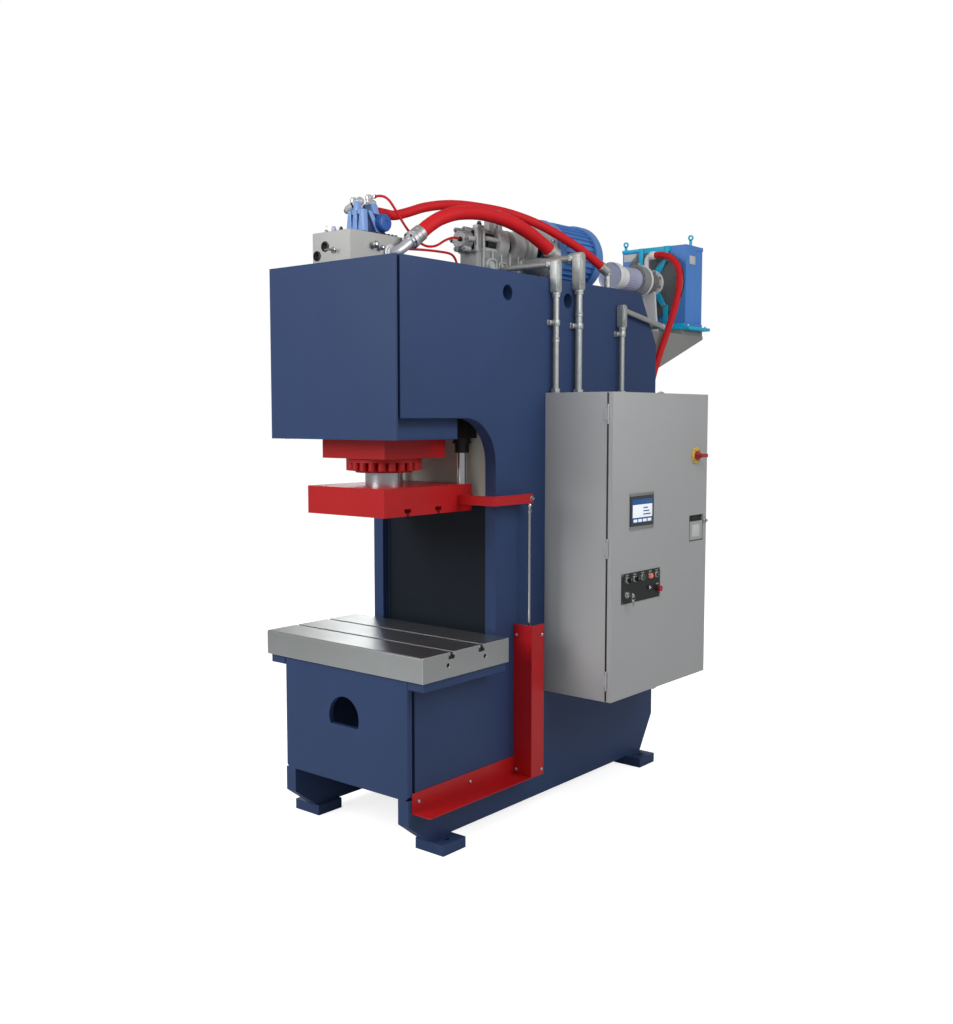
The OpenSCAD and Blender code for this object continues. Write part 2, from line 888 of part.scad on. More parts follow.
// Guard folded from sheet: an upright angle over the sensor and a ledge along the base
module cable_guard() {
    out = half + guard_w;
    color("#a81a1d") {
        span([half, -guard_reach, guard_low], [out, guard_t - guard_reach, guard_top]);
        span([out - guard_t, guard_t - guard_reach, guard_low], [out, guard_l - guard_reach, guard_top]);
        span([half, -guard_front, guard_low + guard_t], [half + guard_t, -guard_reach,
            guard_low + guard_flange_h]);
        span([half, -guard_front, guard_low], [out, -guard_reach, guard_low + guard_t]);
        span([half, guard_t - guard_reach, guard_low], [out - guard_t, guard_l - guard_reach,
            guard_low + guard_t]);
    }
}

// Cabinet shell with a lip round its mouth, and the fixed barrels and pins of three hinges
module cabinet_body() {
    mouth = cab_face - door_d - cab_gap;
    hinge_x = cab_face - door_d;
    hinge_y = cab_y - hinge_off;
    color("#77777a") {
        difference() {
            span([half, cab_y, cab_low], [mouth, cab_y + cab_w, cab_top]);
            span([half + cab_t, cab_y + cab_t, cab_low + cab_t],
                [mouth - cab_t, cab_y + cab_w - cab_t, cab_top - cab_t]);
            span([half + cab_t, cab_y + cab_lip, cab_low + cab_lip],
                [mouth + over, cab_y + cab_w - cab_lip, cab_top - cab_lip]);
        }
        for (share = hinge_shares) {
            z = cab_low + share * cab_h - hinge_h / 2;
            bar_z([hinge_x, hinge_y, z], hinge_d, hinge_h);
            bar_z([hinge_x, hinge_y, z - hinge_knuckle], hinge_pin_d, hinge_h + 2 * hinge_knuckle);
            span([mouth - cab_lip, hinge_y - hinge_d / 4, z], [mouth, cab_y, z + hinge_h]);
            span([mouth, hinge_y - hinge_d / 4, z], [hinge_x, hinge_y + hinge_d / 4, z + hinge_h]);
        }
    }
}
module cabinet_panel() {
    x = half + cab_t + panel_off;
    w = cab_w - 2 * panel_edge;
    h = cab_h - 2 * panel_edge;
    color("#d8d8d4") {
        span([x, cab_y + panel_edge, cab_low + panel_edge],
            [x + cab_t, cab_y + panel_edge + w, cab_low + panel_edge + h]);
        for (y = [panel_edge * 3 / 2, cab_w - panel_edge * 3 / 2])
            for (z = [panel_edge * 3 / 2, cab_h - panel_edge * 3 / 2])
            bar_x([half + cab_t, cab_y + y, cab_low + z], panel_pin_d, panel_off);
    }
    color("#4b4e52") for (i = [0:len(device_shares) - 1]) {
        s = device_shares[i];
        translate([x + cab_t, cab_y + panel_edge + s[0] * w, cab_low + panel_edge + s[1] * h])
            cube([device_depths[i], s[2] * w, s[3] * h]);
    }
}

// Door pan with knuckles that ride on the hinge pins, and a recess for the latch
module cabinet_door() {
    x = cab_face - door_d;
    hinge_y = cab_y - hinge_off;
    color("#9b9b99") {
        difference() {
            span([x, cab_y, cab_low], [cab_face, cab_y + cab_w, cab_top]);
            span([x - over, cab_y + cab_t, cab_low + cab_t],
                [cab_face - cab_t, cab_y + cab_w - cab_t, cab_top - cab_t]);
            span([cab_face - latch_t, latch_y, latch_z],
                [cab_face + over, latch_y + latch_w, latch_z + latch_h]);
        }
        difference() {
            span([cab_face - latch_t - cab_t, latch_y - cab_t, latch_z - cab_t],
                [cab_face - cab_t, latch_y + latch_w + cab_t, latch_z + latch_h + cab_t]);
            span([cab_face - latch_t, latch_y, latch_z], [cab_face, latch_y + latch_w, latch_z + latch_h]);
            bar_y([latch_x, latch_y - cab_t - over, latch_pin_z], latch_pin_d + 2 * play,
                latch_w + 2 * (cab_t + over));
        }
        for (share = hinge_shares) for (end = [-1, 1]) {
            mid = cab_low + share * cab_h + end * (hinge_h + hinge_knuckle) / 2;
            z = mid - hinge_knuckle / 2 + slack;
            l = hinge_knuckle - 2 * slack;
            difference() {
                union() {
                    bar_z([x, hinge_y, z], hinge_d, l);
                    span([x, hinge_y, z], [x + hinge_d / 2, cab_y, z + l]);
                }
                bar_z([x, hinge_y, z - over], hinge_pin_d + 2 * play, l + 2 * over);
            }
        }
    }
}

// Operator screen: a bezel between an upper and a lower bar
module operator_screen() {
    color("#3a3d42") difference() {
        span([cab_face, screen_y, screen_z + screen_bar],
            [cab_face + screen_t, screen_y + screen_w, screen_z + screen_h - screen_bar]);
        span([cab_face + screen_t / 2, screen_y + screen_bezel, screen_z + screen_bar + screen_bezel],
            [cab_face + screen_t + over, screen_y + screen_w - screen_bezel,
                screen_z + screen_h - screen_bar - screen_bezel]);
    }
    color("#c8c8c4") for (z = [screen_z, screen_z + screen_h - screen_bar])
        span([cab_face, screen_y, z], [cab_face + screen_t, screen_y + screen_w, z + screen_bar]);
}

// Black panel with a bored collar for each control and a small fixed dial
module button_panel() {
    x = cab_face;
    places = concat([for (s = keys_shares) [s, keys_row_z]],
        [[key_share, keys_low_z], [stop_share, keys_low_z]]);
    color("#1d1f20") {
        difference() {
            union() {
                span([x, keys_y, keys_z], [x + keys_t, keys_y + keys_w, keys_z + keys_h]);
                for (p = places)
                    bar_x([x + keys_t, keys_y + p[0] * keys_w, keys_z + p[1]], collar_d, collar_h);
            }
            for (p = places)
                bar_x([x - over, keys_y + p[0] * keys_w, keys_z + p[1]], button_d + 2 * slack,
                    keys_t + collar_h + 2 * over);
        }
        bar_x([x + keys_t, keys_y + dial_share * keys_w, keys_z + keys_low_z + dial_drop], dial_d,
            collar_h);
    }
}
module button_at(share, z, out) {
    x = cab_face + button_travel + slack;
    bar_x([x, keys_y + share * keys_w, keys_z + z], button_d,
        keys_t + collar_h + out - button_travel - slack);
}
module selector_at(share, z) {
    x = cab_face + slack;
    top = cab_face + keys_t + collar_h + slack;
    y = keys_y + share * keys_w;
    bar_x([x, y, keys_z + z], button_d, top - x);
    bar_x([top, y, keys_z + z], button_d, knob_h / 4);
    span([top + knob_h / 4, y - knob_w / 2, keys_z + z - button_d / 2],
        [top + knob_h, y + knob_w / 2, keys_z + z + button_d / 2]);
}
module selector_left() {
    color("#2c2e30") selector_at(keys_shares[0], keys_row_z);
}
module selector_right() {
    color("#2c2e30") selector_at(keys_shares[1], keys_row_z);
}
module green_button() {
    color("#1f6b45") button_at(keys_shares[2], keys_row_z, button_out);
}
module lit_button() {
    color("#e0562f") button_at(keys_shares[3], keys_row_z, button_out);
}
module return_button() {
    color("#1f6b45") button_at(keys_shares[4], keys_row_z, button_out);
}

// Stop button with a wide head in front of its collar
module stop_button() {
    z = keys_z + keys_low_z;
    top = cab_face + keys_t + collar_h + button_travel + slack;
    color("#b3202c") {
        button_at(stop_share, keys_low_z, button_travel + slack);
        bar_x([top, keys_y + stop_share * keys_w, z], collar_d, stop_out);
    }
}

// Key switch with its key turned in, a ring and the spare key hanging from it
module key_switch() {
    y = keys_y + key_share * keys_w;
    z = keys_z + keys_low_z;
    top = cab_face + keys_t + collar_h + slack;
    ring_x = top + key_stem + key_bow - key_ring_d / 4;
    color("#a9abac") {
        bar_x([cab_face + slack, y, z], button_d, top - cab_face - slack);
        span([top, y - key_t / 2, z - key_bow / 4], [top + key_stem, y + key_t / 2, z + key_bow / 4]);
        span([top + key_stem, y - key_t / 2, z - key_bow / 2],
            [top + key_stem + key_bow, y + key_t / 2, z + key_bow / 2]);
        span([ring_x - key_t, y + key_t / 2, z - key_hang],
            [ring_x, y + key_t / 2 + key_bow / 2, z - key_bow / 4]);
    }
}
module disconnect_plate() {
    color("#e3c440") bar_x([cab_face, disc_y, disc_z], disc_d, disc_t);
}
module disconnect_handle() {
    x = cab_face + disc_t + slack;
    color("#b8252a") {
        bar_x([x, disc_y, disc_z], grip_base_d, grip_base_h);
        span([x + grip_base_h, disc_y - grip_l / 2, disc_z - grip_w / 2],
            [x + grip_base_h + grip_h, disc_y + grip_l / 2, disc_z + grip_w / 2]);
    }
}

// Lift handle in the door recess, on a pin along its lower edge, with a finger pocket above it
module latch_handle() {
    color("#8e8e8c") {
        span([latch_x, latch_y + latch_rim, latch_pin_z - latch_pin_d / 2],
            [cab_face, latch_y + latch_w - latch_rim, latch_z + latch_h - latch_pocket]);
        bar_y([latch_x, latch_y - cab_t / 2, latch_pin_z], latch_pin_d, latch_w + cab_t);
    }
}

// Conduits: upright pipes on the right side plate and their runs to the pump and the shelf
module conduit_pipes() {
    x = half + conduit_off;
    color("#9da0a1") {
        for (i = [0:2])
            bar_z([x, conduit_ys[i], cab_top], conduit_ds[i], conduit_tops[i] - body_hs[i] - cab_top);
        for (i = [0, 1])
            bar_x([pump_foot_w / 2, conduit_ys[i], conduit_tops[i] - conduit_drop[i]], conduit_ds[i],
                x - body_ws[i] / 2 - pump_foot_w / 2);
        bar_to(rise_start, rise_dir, conduit_ds[2], norm(rise_dir));
        translate(rise_end) sphere(d = conduit_ds[2] + elbow_over);
        bar_x([shelf_w / 2 - shelf_box_w, rise_end.y, rise_end.z], conduit_ds[2],
            x - shelf_w / 2 + shelf_box_w);
    }
}

// Conduit bodies with round tops, nuts at both ends of the pipes, and clamps on the side plate
module conduit_fittings() {
    x = half + conduit_off;
    color("#8d9092") span([shelf_w / 2 - 2 * shelf_box_w, rise_end.y - shelf_box_w / 2, shelf_h],
        [shelf_w / 2 - shelf_box_w, rise_end.y + shelf_box_w / 2, shelf_h + shelf_box_w]);
    color("#8d9092") for (i = [0:2]) {
        w = body_ws[i];
        y = conduit_ys[i];
        d = conduit_ds[i];
        top = conduit_tops[i];
        run = top - body_hs[i] - cab_top;
        clamp = cab_top + clamp_shares[i] * run;
        span([x - w / 2, y - w / 2, top - body_hs[i]], [x + w / 2, y + w / 2, top - w / 2]);
        bar_x([x - w / 2, y, top - w / 2], w, w);
        for (z = [cab_top, top - body_hs[i] - nut_h]) nut_z([x, y, z], d);
        if (i < 2) {
            nut_z([x, y, cab_top + coupling_shares[i] * run], d);
            nut_x([x - w / 2 - nut_h, y, top - conduit_drop[i]], d);
            nut_x([pump_foot_w / 2, y, top - conduit_drop[i]], d);
        }
        difference() {
            union() {
                bar_z([x, y, clamp], d + 2 * clamp_t, clamp_h);
                span([half, y - clamp_ear - d / 2, clamp],
                    [half + clamp_foot, y + d / 2, clamp + clamp_h]);
            }
            bar_z([x, y, clamp - over], d, clamp_h + 2 * over);
            span([x - conduit_off - d, y - d - clamp_t, clamp - over],
                [half, y + d + clamp_t, clamp + clamp_h + over]);
        }
    }
}
module nut_z(p, d) {
    translate(p) difference() {
        cylinder(d = d + nut_over, h = nut_h);
        translate([0, 0, -over]) cylinder(d = d, h = nut_h + 2 * over);
    }
}
module nut_x(p, d) {
    translate(p) rotate([0, 90, 0]) nut_z([0, 0, 0], d);
}

// Manifold block with two ports in its front face
module manifold_block() {
    color("#b3b5b6") difference() {
        span([block_x, block_y, frame_h], [block_right, block_y + block_l, block_z]);
        for (i = [0, 1])
            bar_y([block_x + port_x_shares[i] * block_w, block_y - over,
                frame_h + port_z_shares[i] * block_h],
                port_d, port_deep + over);
        bar_y([handle_x, block_y - over, handle_z], handle_stem_d + 2 * play, port_deep + over);
    }
}

// Directional valve: ribbed body, round end cover, two solenoids and their plugs
module directional_valve() {
    y0 = block_y + valve_y_off;
    mid = valve_x + valve_w / 2;
    rib = valve_l / (2 * valve_ribs - 1);
    color("#6f97d8") {
        difference() {
            span([valve_x, y0, block_z], [valve_x + valve_w, y0 + valve_l, block_z + valve_h]);
            for (k = [0:valve_ribs - 2]) for (side = [0, 1])
                span([valve_x - over + side * (valve_w - valve_rib + over), y0 + rib * (2 * k + 1),
                    block_z + valve_h / 4],
                    [valve_x + valve_rib + side * (valve_w - valve_rib + over), y0 + rib * (2 * k + 2),
                        block_z + valve_h * 3 / 4]);
        }
        bar_x([valve_x + valve_w, y0 + valve_l - valve_cover_d / 2, block_z + valve_h / 2], valve_cover_d,
            valve_cover_l);
    }
    color("#8f9294") for (k = [0, 1]) {
        y = y0 + valve_l * (2 * k + 1) / 4;
        bar_x([mid - solenoid_l / 2, y, block_z + valve_h + solenoid_d / 4], solenoid_d, solenoid_l);
        span([mid - plug_w / 2, y - plug_w / 2, block_z + valve_h],
            [mid + plug_w / 2, y + plug_w / 2, block_z + valve_h + solenoid_d * 3 / 4 + plug_h / 2]);
    }
}

// T-handle screwed into the manifold's front face
module manifold_handle() {
    color("#d5d7d9") {
        bar_y([handle_x, block_y - handle_stem_l, handle_z], handle_stem_d,
            handle_stem_l + port_deep - over);
        bar_x([handle_x - handle_bar_l / 2, block_y - handle_stem_l, handle_z], handle_bar_d, handle_bar_l);
    }
}

// Prefill pipe: out of the manifold's right face, then up to the flange of the large hose
module prefill_pipe() {
    dir = leaving(prefill_route);
    tip = prefill_route[0] - dir * (collar_l + pipe_flange_t);
    bend = tip - dir * pipe_bend;
    color("#c4c7ca") {
        bar_to(tip, dir, pipe_flange_d, pipe_flange_t);
        bar_to(bend, dir, pipe_d, pipe_bend);
        translate(bend) sphere(d = pipe_d + elbow_over);
        bar_x([block_right, bend.y, bend.z], pipe_d, bend.x - block_right);
    }
}

// Collars at the ends of the hoses, with the elbows and pipes that the collars stand on
module hose_fittings() {
    a = prefill_route[len(prefill_route) - 1] + arriving(prefill_route) * collar_l;
    b = return_route[len(return_route) - 1] + arriving(return_route) * collar_l;
    c = cooler_route[0] - leaving(cooler_route) * collar_l;
    d = cooler_route[len(cooler_route) - 1] + arriving(cooler_route) * collar_l;
    valve_rear = block_y + valve_y_off + valve_l;
    line_end = pump_line_route[len(pump_line_route) - 1];
    color("#a9acae") {
        bar_to(prefill_route[0], -leaving(prefill_route), prefill_od + collar_over, collar_l);
        bar_to(a, -arriving(prefill_route), prefill_od + collar_over, collar_l);
        standpipe(a, prefill_od - collar_over);
        bar_to(b, -arriving(return_route), return_od + collar_over, collar_l);
        standpipe(b, return_od - collar_over / 2);
        bar_y([return_route[0].x, valve_rear, return_route[0].z], return_od + collar_over,
            return_route[0].y - valve_rear);
        bar_z([line_end.x, line_end.y, frame_h], line_od + collar_over, line_end.z - frame_h);
        bar_to(c, leaving(cooler_route), cooler_od + collar_over, collar_l);
        translate(c) sphere(d = cooler_od + elbow_over);
        bar_z([c.x, c.y, fan_z + cm_boss_h], cooler_od, c.z - fan_z - cm_boss_h);
        bar_to(d, -arriving(cooler_route), cooler_od + collar_over, collar_l);
        translate(d) sphere(d = cooler_od + elbow_over);
        bar_y([d.x, rear_reach, d.z], cooler_od, d.y - rear_reach);
    }
}
module standpipe(p, d) {
    translate(p) sphere(d = d + elbow_over);
    bar_z([p.x, p.y, frame_h], d, p.z - frame_h);
    bar_z([p.x, p.y, frame_h], d + 2 * collar_over, collar_over);
}

// Piston pump: end cover, neck block, round body on a foot, mounting flange and side port
module pump() {
    rear = pump_rear;
    front = -pump_reach;
    neck = front + pump_end_l;
    color("#9a9c9e") difference() {
        union() {
            bar_y([0, front, shaft_z], pump_end_d, pump_end_l);
            for (k = [0:5]) rotate_about_y([0, 0, shaft_z], 60 * k)
                bar_y([pump_end_d / 2, front + pump_bolt_d, shaft_z], pump_bolt_d * 2,
                    pump_end_l - pump_bolt_d / 2);
            span([-pump_neck_w / 2, neck, shaft_z - pump_neck_w / 2],
                [pump_neck_w / 2, neck + pump_neck_l, shaft_z + pump_neck_w / 2]);
            bar_y([0, neck + pump_neck_l, shaft_z], pump_body_d, rear - neck - pump_neck_l);
            bar_y([0, rear - pump_flange_t, shaft_z], pump_flange_d, pump_flange_t);
            span([-pump_foot_w / 2, neck + pump_bolt_d, frame_h],
                [pump_foot_w / 2, rear - pump_flange_t, shaft_z - pump_neck_w / 3]);
            bar_x([pump_foot_w / 2, neck + pump_neck_l, shaft_z - pump_lobe_d * 2], pump_port_d,
                pump_port_l);
        }
        bar_y([0, rear - shaft_in - over, shaft_z], shaft_d + 2 * play, shaft_in + 2 * over);
    }
}
module rotate_about_y(p, a) {
    translate(p) rotate([0, a, 0]) translate(-p) children();
}

// Bell housing: a hollow cone between two rings, with a window on its right side
module bell_housing() {
    rear = motor_front;
    front = rear - bell_l;
    color("#85888b") difference() {
        translate([0, front, shaft_z]) rotate([-90, 0, 0]) rotate_extrude() polygon([
            [bell_small / 2 - bell_wall, 0], [bell_small / 2, 0], [bell_small / 2, bell_ring],
            [bell_large / 2 - bell_wall, bell_l - bell_ring], [bell_large / 2, bell_l - bell_ring],
                [bell_large / 2, bell_l],
            [bell_large / 2 - 2 * bell_wall, bell_l], [bell_large / 2 - 2 * bell_wall, bell_l - bell_ring],
            [bell_small / 2 - bell_wall, bell_ring]
        ]);
        span([0, rear - bell_l / 2 - bell_window_l / 2, shaft_z - bell_window_w / 2],
            [bell_large, rear - bell_l / 2 + bell_window_l / 2, shaft_z + bell_window_w / 2]);
    }
}

// Coupling: two hubs and a spider on the shaft between motor and pump
module drive_coupling() {
    front = motor_front - bell_l;
    mid = front + bell_l / 2;
    color("#5b5e61") {
        bar_y([0, front - shaft_in, shaft_z], shaft_d, bell_l + 2 * shaft_in);
        bar_y([0, mid - spider_l / 2 - hub_l, shaft_z], hub_d, 2 * hub_l + spider_l);
    }
}

// Motor with cooling fins, a rounded cowl, feet on the deck and a terminal box
module motor() {
    body_l = motor_l - cowl_l;
    barrel = motor_d - 2 * fin_h;
    color("#3f74c4") difference() {
        union() {
            bar_y([0, motor_front, shaft_z], barrel, body_l);
            bar_y([0, motor_front, shaft_z], motor_d, end_shield);
            for (k = [0:motor_fins - 1]) rotate_about_y([0, 0, shaft_z], 360 * k / motor_fins)
                span([barrel / 2 - fin_t, motor_front + end_shield / 2, shaft_z - fin_t / 2],
                    [motor_d / 2 - fin_t / 2, motor_front + body_l + fin_t, shaft_z + fin_t / 2]);
            translate([0, motor_front + body_l, shaft_z]) rotate([-90, 0, 0]) rotate_extrude() polygon([
                [0, 0], [cowl_d / 2, 0], [cowl_d / 2, cowl_l - cowl_round],
                [cowl_d / 2 - cowl_round / 3, cowl_l - cowl_round / 3], [cowl_d / 2 - cowl_round, cowl_l],
                    [0, cowl_l]
            ]);
            for (y = [motor_front + end_shield, motor_front + body_l - foot_bar - end_shield]) {
                span([-foot_w / 2, y, frame_h], [foot_w / 2, y + foot_bar, frame_h + foot_plate]);
                span([-foot_w / 3, y, frame_h + foot_plate],
                    [foot_w / 3, y + foot_bar, shaft_z - barrel / 3]);
            }
            span([-motor_d / 2 - box_w, motor_front + end_shield * 2, shaft_z - box_h / 2],
                [-barrel / 3, motor_front + end_shield * 2 + box_l, shaft_z + box_h / 2]);
        }
        bar_y([0, motor_front - over, shaft_z], shaft_d + 2 * play, shaft_in + 2 * over);
    }
}

// Rear shelf on two tapered gussets
module cooler_shelf() {
    w = shelf_w / 2;
    color("#77787a") {
        span([-w, rear_reach, shelf_h - shelf_t], [w, rear_reach + shelf_l, shelf_h]);
        for (x = [-w, w - gusset_t]) plate_x(x, gusset_t) polygon([
            [rear_reach, shelf_h - shelf_t], [rear_reach, shelf_h - gusset_root],
            [rear_reach + shelf_l, shelf_h - gusset_tip], [rear_reach + shelf_l, shelf_h - shelf_t]
        ]);
    }
}

// Oil cooler: hollow box with a round fan opening, finned core, base rails and lifting eyes
module oil_cooler() {
    y1 = fan_y + cooler_d;
    x1 = cooler_x + cooler_w;
    top = cooler_low + cooler_h;
    color("#3f78cf") difference() {
        span([cooler_x, fan_y, cooler_low], [x1, y1, top]);
        span([cooler_x + cooler_wall, fan_y + cooler_wall, cooler_low + cooler_wall],
            [x1 - cooler_wall, y1 - core_d, top - cooler_wall]);
        bar_y([fan_x, fan_y - over, fan_z], fan_d, cooler_wall + 2 * over);
        for (k = [0:core_slots - 1]) {
            x = cooler_x + core_edge + (cooler_w - 2 * core_edge - core_slot_t) * k / (core_slots - 1);
            span([x, y1 - core_slot_deep, cooler_low + core_edge],
                [x + core_slot_t, y1 + over, top - core_edge]);
        }
    }
    color("#1fa9c4") {
        for (x = [cooler_x - rail_over, x1 - rail_over])
            span([x, fan_y - rail_front, shelf_h], [x + 2 * rail_over, y1 + rail_front / 4,
                cooler_low - rail_t]);
        span([cooler_x - rail_over, fan_y - rail_front, cooler_low - rail_t],
            [x1 + rail_over, y1 + rail_front / 4, cooler_low]);
        for (e = [[cooler_x, fan_y + cooler_wall], [x1 - eye_w * 3 / 2, y1 - core_d]]) difference() {
            span([e.x, e.y, top], [e.x + eye_w, e.y + eye_t, top + eye_h]);
            bar_y([e.x + eye_w / 2, e.y - over, top + eye_h - eye_w / 2], eye_hole, eye_t + 2 * over);
        }
    }
}

// Fan guard: wire rings on four flat struts that also hold the motor flange
module fan_guard() {
    y = fan_y - strut_t;
    color("#7b7f80") for (k = [0:guard_rings - 1]) {
        first = cm_flange_d / 2 + 2 * guard_wire;
        r = first + (fan_d / 2 - first) * k / (guard_rings - 1);
        translate([fan_x, fan_y - strut_t - guard_wire / 2, fan_z]) rotate([-90, 0, 0]) rotate_extrude()
            translate([r, 0]) square([guard_wire, guard_wire], center = true);
    }
    color("#1fa9c4") for (a = strut_angles) rotate_about_y([fan_x, 0, fan_z], a)
        span([fan_x + cm_flange_d / 2 - strut_w, y, fan_z - strut_w / 2],
            [fan_x + fan_d / 2 + strut_w, fan_y, fan_z + strut_w / 2]);
}

// Fan on its shaft: hub and pitched blades
module cooler_fan() {
    y = fan_y + fan_set;
    blade_r = fan_d / 2 - blade_gap;
    color("#3a3d3f") {
        bar_y([fan_x, y, fan_z], fan_hub_d, fan_hub_l);
        bar_y([fan_x, fan_y - strut_t - cm_shaft_in, fan_z], cm_shaft_d,
            fan_set + strut_t + cm_shaft_in + fan_hub_l / 2);
        for (k = [0:fan_blades - 1]) rotate_about_y([fan_x, 0, fan_z], 360 * k / fan_blades)
            translate([fan_x + fan_hub_d / 3, y + fan_hub_l / 2, fan_z]) rotate([blade_pitch, 0, 0])
                translate([0, -blade_t / 2, -blade_w / 2])
                    cube([blade_r - fan_hub_d / 3, blade_t, blade_w]);
    }
}

// Cooler motor and pump in line: cowl, body, large disc, neck and bolted flange, on a foot
module cooler_motor() {
    front = rear_reach + cm_front;
    disc = front + cm_cowl_l + cm_body_l;
    neck = disc + cm_disc_l;
    end = fan_y - strut_t;
    color("#cfd0d6") difference() {
        union() {
            bar_y([fan_x, front, fan_z], cm_cowl_d, cm_cowl_l);
            bar_y([fan_x, front + cm_cowl_l, fan_z], cm_body_d, cm_body_l);
            bar_y([fan_x, disc, fan_z], cm_disc_d, cm_disc_l);
            bar_y([fan_x, neck, fan_z], cm_neck_d, end - neck);
            bar_y([fan_x, end - cm_flange_t, fan_z], cm_flange_d, cm_flange_t);
            bar_z([cooler_route[0].x - collar_l, cooler_route[0].y, fan_z], cooler_od + collar_over,
                cm_boss_h);
            plate_y(fan_y - rail_front - slack - cm_foot_t, cm_foot_t) polygon([
                [fan_x - cm_foot_w / 2, shelf_h], [fan_x + cm_foot_w / 2, shelf_h],
                [fan_x + cm_foot_top / 2, fan_z - cm_body_d / 3],
                    [fan_x - cm_foot_top / 2, fan_z - cm_body_d / 3]
            ]);
        }
        bar_y([fan_x, end - cm_flange_t, fan_z], cm_shaft_d + 2 * play, cm_flange_t + over);
    }
}

// Hoses and lines
module prefill_hose() {
    color("#b5181c") cord(prefill_route, prefill_od, 1, [1, 0, 0]);
}
module return_hose() {
    color("#b5181c") cord(return_route, return_od, 2, [1, 0, 0]);
}
module cooler_hose() {
    color("#b5181c") cord(cooler_route, cooler_od, 1, [0, 1, 0]);
}
module pilot_line() {
    color("#b5181c") cord(pilot_route, line_od, 1, [0, 0.2, 1]);
}
module pump_line() {
    color("#b5181c") cord(pump_line_route, line_od, 2, [1, 0, 0]);
}

side_plate_left();
side_plate_right();
head_front_plate();
cylinder_housing();
throat_back_plate();
throat_upper_panel();
deck_plate();
rear_plate();
bed_plate();
bolster();
base_front_plate();
foot_pads();
cylinder_barrel();
ram_flange();
gland_ring();
gland_screws();
ram_rod();
platen();
guide_rods();
guide_blocks();
sensor_arm();
sensor_rod();
sensor_tube();
cable_guard();
cabinet_body();
cabinet_panel();
cabinet_door();
operator_screen();
button_panel();
selector_left();
selector_right();
green_button();
lit_button();
return_button();
stop_button();
key_switch();
disconnect_plate();
disconnect_handle();
latch_handle();
conduit_pipes();
conduit_fittings();
manifold_block();
directional_valve();
manifold_handle();
prefill_pipe();
hose_fittings();
pump();
bell_housing();
drive_coupling();
motor();
cooler_shelf();
oil_cooler();
fan_guard();
cooler_fan();
cooler_motor();
prefill_hose();
return_hose();
cooler_hose();
pilot_line();
pump_line();
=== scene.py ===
# %% [markdown]
# # Dressing a hydraulic press
# The press comes in as finished solids: a C-shaped frame of thick plate, a ram, a slotted bolster,
# an electrical cabinet, a pump set on the head and an oil cooler on the rear. This lesson keeps those
# solids where they are and adds what a camera sees: paint, ground steel, hoses, screws and lamps.
# The frame is in metres: +X right, +Y to the rear, +Z up. Places below are in millimetres, as on a
# drawing, and the mesh helpers turn them into metres.

# %% Load the frame
import math

import bmesh
import bpy
from mathutils import Matrix, Vector


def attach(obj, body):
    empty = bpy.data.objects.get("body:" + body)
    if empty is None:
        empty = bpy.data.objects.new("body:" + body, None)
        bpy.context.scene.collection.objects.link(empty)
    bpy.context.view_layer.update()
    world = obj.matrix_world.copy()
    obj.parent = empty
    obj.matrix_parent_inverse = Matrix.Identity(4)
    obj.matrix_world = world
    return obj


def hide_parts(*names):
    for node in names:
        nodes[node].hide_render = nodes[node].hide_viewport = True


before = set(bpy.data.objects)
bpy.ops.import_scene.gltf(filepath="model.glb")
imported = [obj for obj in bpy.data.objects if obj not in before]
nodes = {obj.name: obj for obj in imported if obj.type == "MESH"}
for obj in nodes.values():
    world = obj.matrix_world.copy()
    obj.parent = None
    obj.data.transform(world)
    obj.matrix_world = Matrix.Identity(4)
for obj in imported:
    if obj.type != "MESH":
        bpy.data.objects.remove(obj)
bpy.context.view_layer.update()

# %% [markdown]
# ## Camera
# The photograph was taken from the front right, a little above the bolster. A camera can be placed by
# eye, but straight edges of the frame give its place exactly, so the fitted values are used.

# %% Place the camera
IMAGE_HEIGHT = 1024
FOCAL_PIXELS = 1117.0
SENSOR_WIDTH = 36.0
camera_data = bpy.data.cameras.new("photo_camera")
camera_data.sensor_width = SENSOR_WIDTH
camera_data.lens = FOCAL_PIXELS * SENSOR_WIDTH / IMAGE_HEIGHT
camera_data.clip_end = 60
camera = bpy.data.objects.new("photo_camera", camera_data)
camera.location = (3.7058, -4.5416, 1.9559)
camera.rotation_euler = (math.radians(85.19), 0, math.radians(39.73))
bpy.context.scene.collection.objects.link(camera)
bpy.context.scene.camera = camera
print("camera lens:", round(camera_data.lens, 2), "mm")

# %% [markdown]
# ## Finishes
# Every surface here is a coat of paint, a ground or polished metal, or moulded plastic. Painting
# textures by hand would need unwrapped faces; noise in object space needs none and never repeats.
# One recipe makes them all: a base colour that drifts a little, a roughness that drifts with it, a
# fine bump for orange peel or grinding marks, edges softened by the Bevel node, and a lighter colour
# where that softened edge leans away from the flat face: wear on the paints, a painted highlight on the
# ground steel.

# %% Recipe for a finish
def srgb(red, green, blue):
    """Turns the eye's 0-255 colour into the linear colour that shaders use."""
    def linear(value):
        value /= 255
        return value / 12.92 if value <= 0.04045 else ((value + 0.055) / 1.055) ** 2.4
    return (linear(red), linear(green), linear(blue), 1)


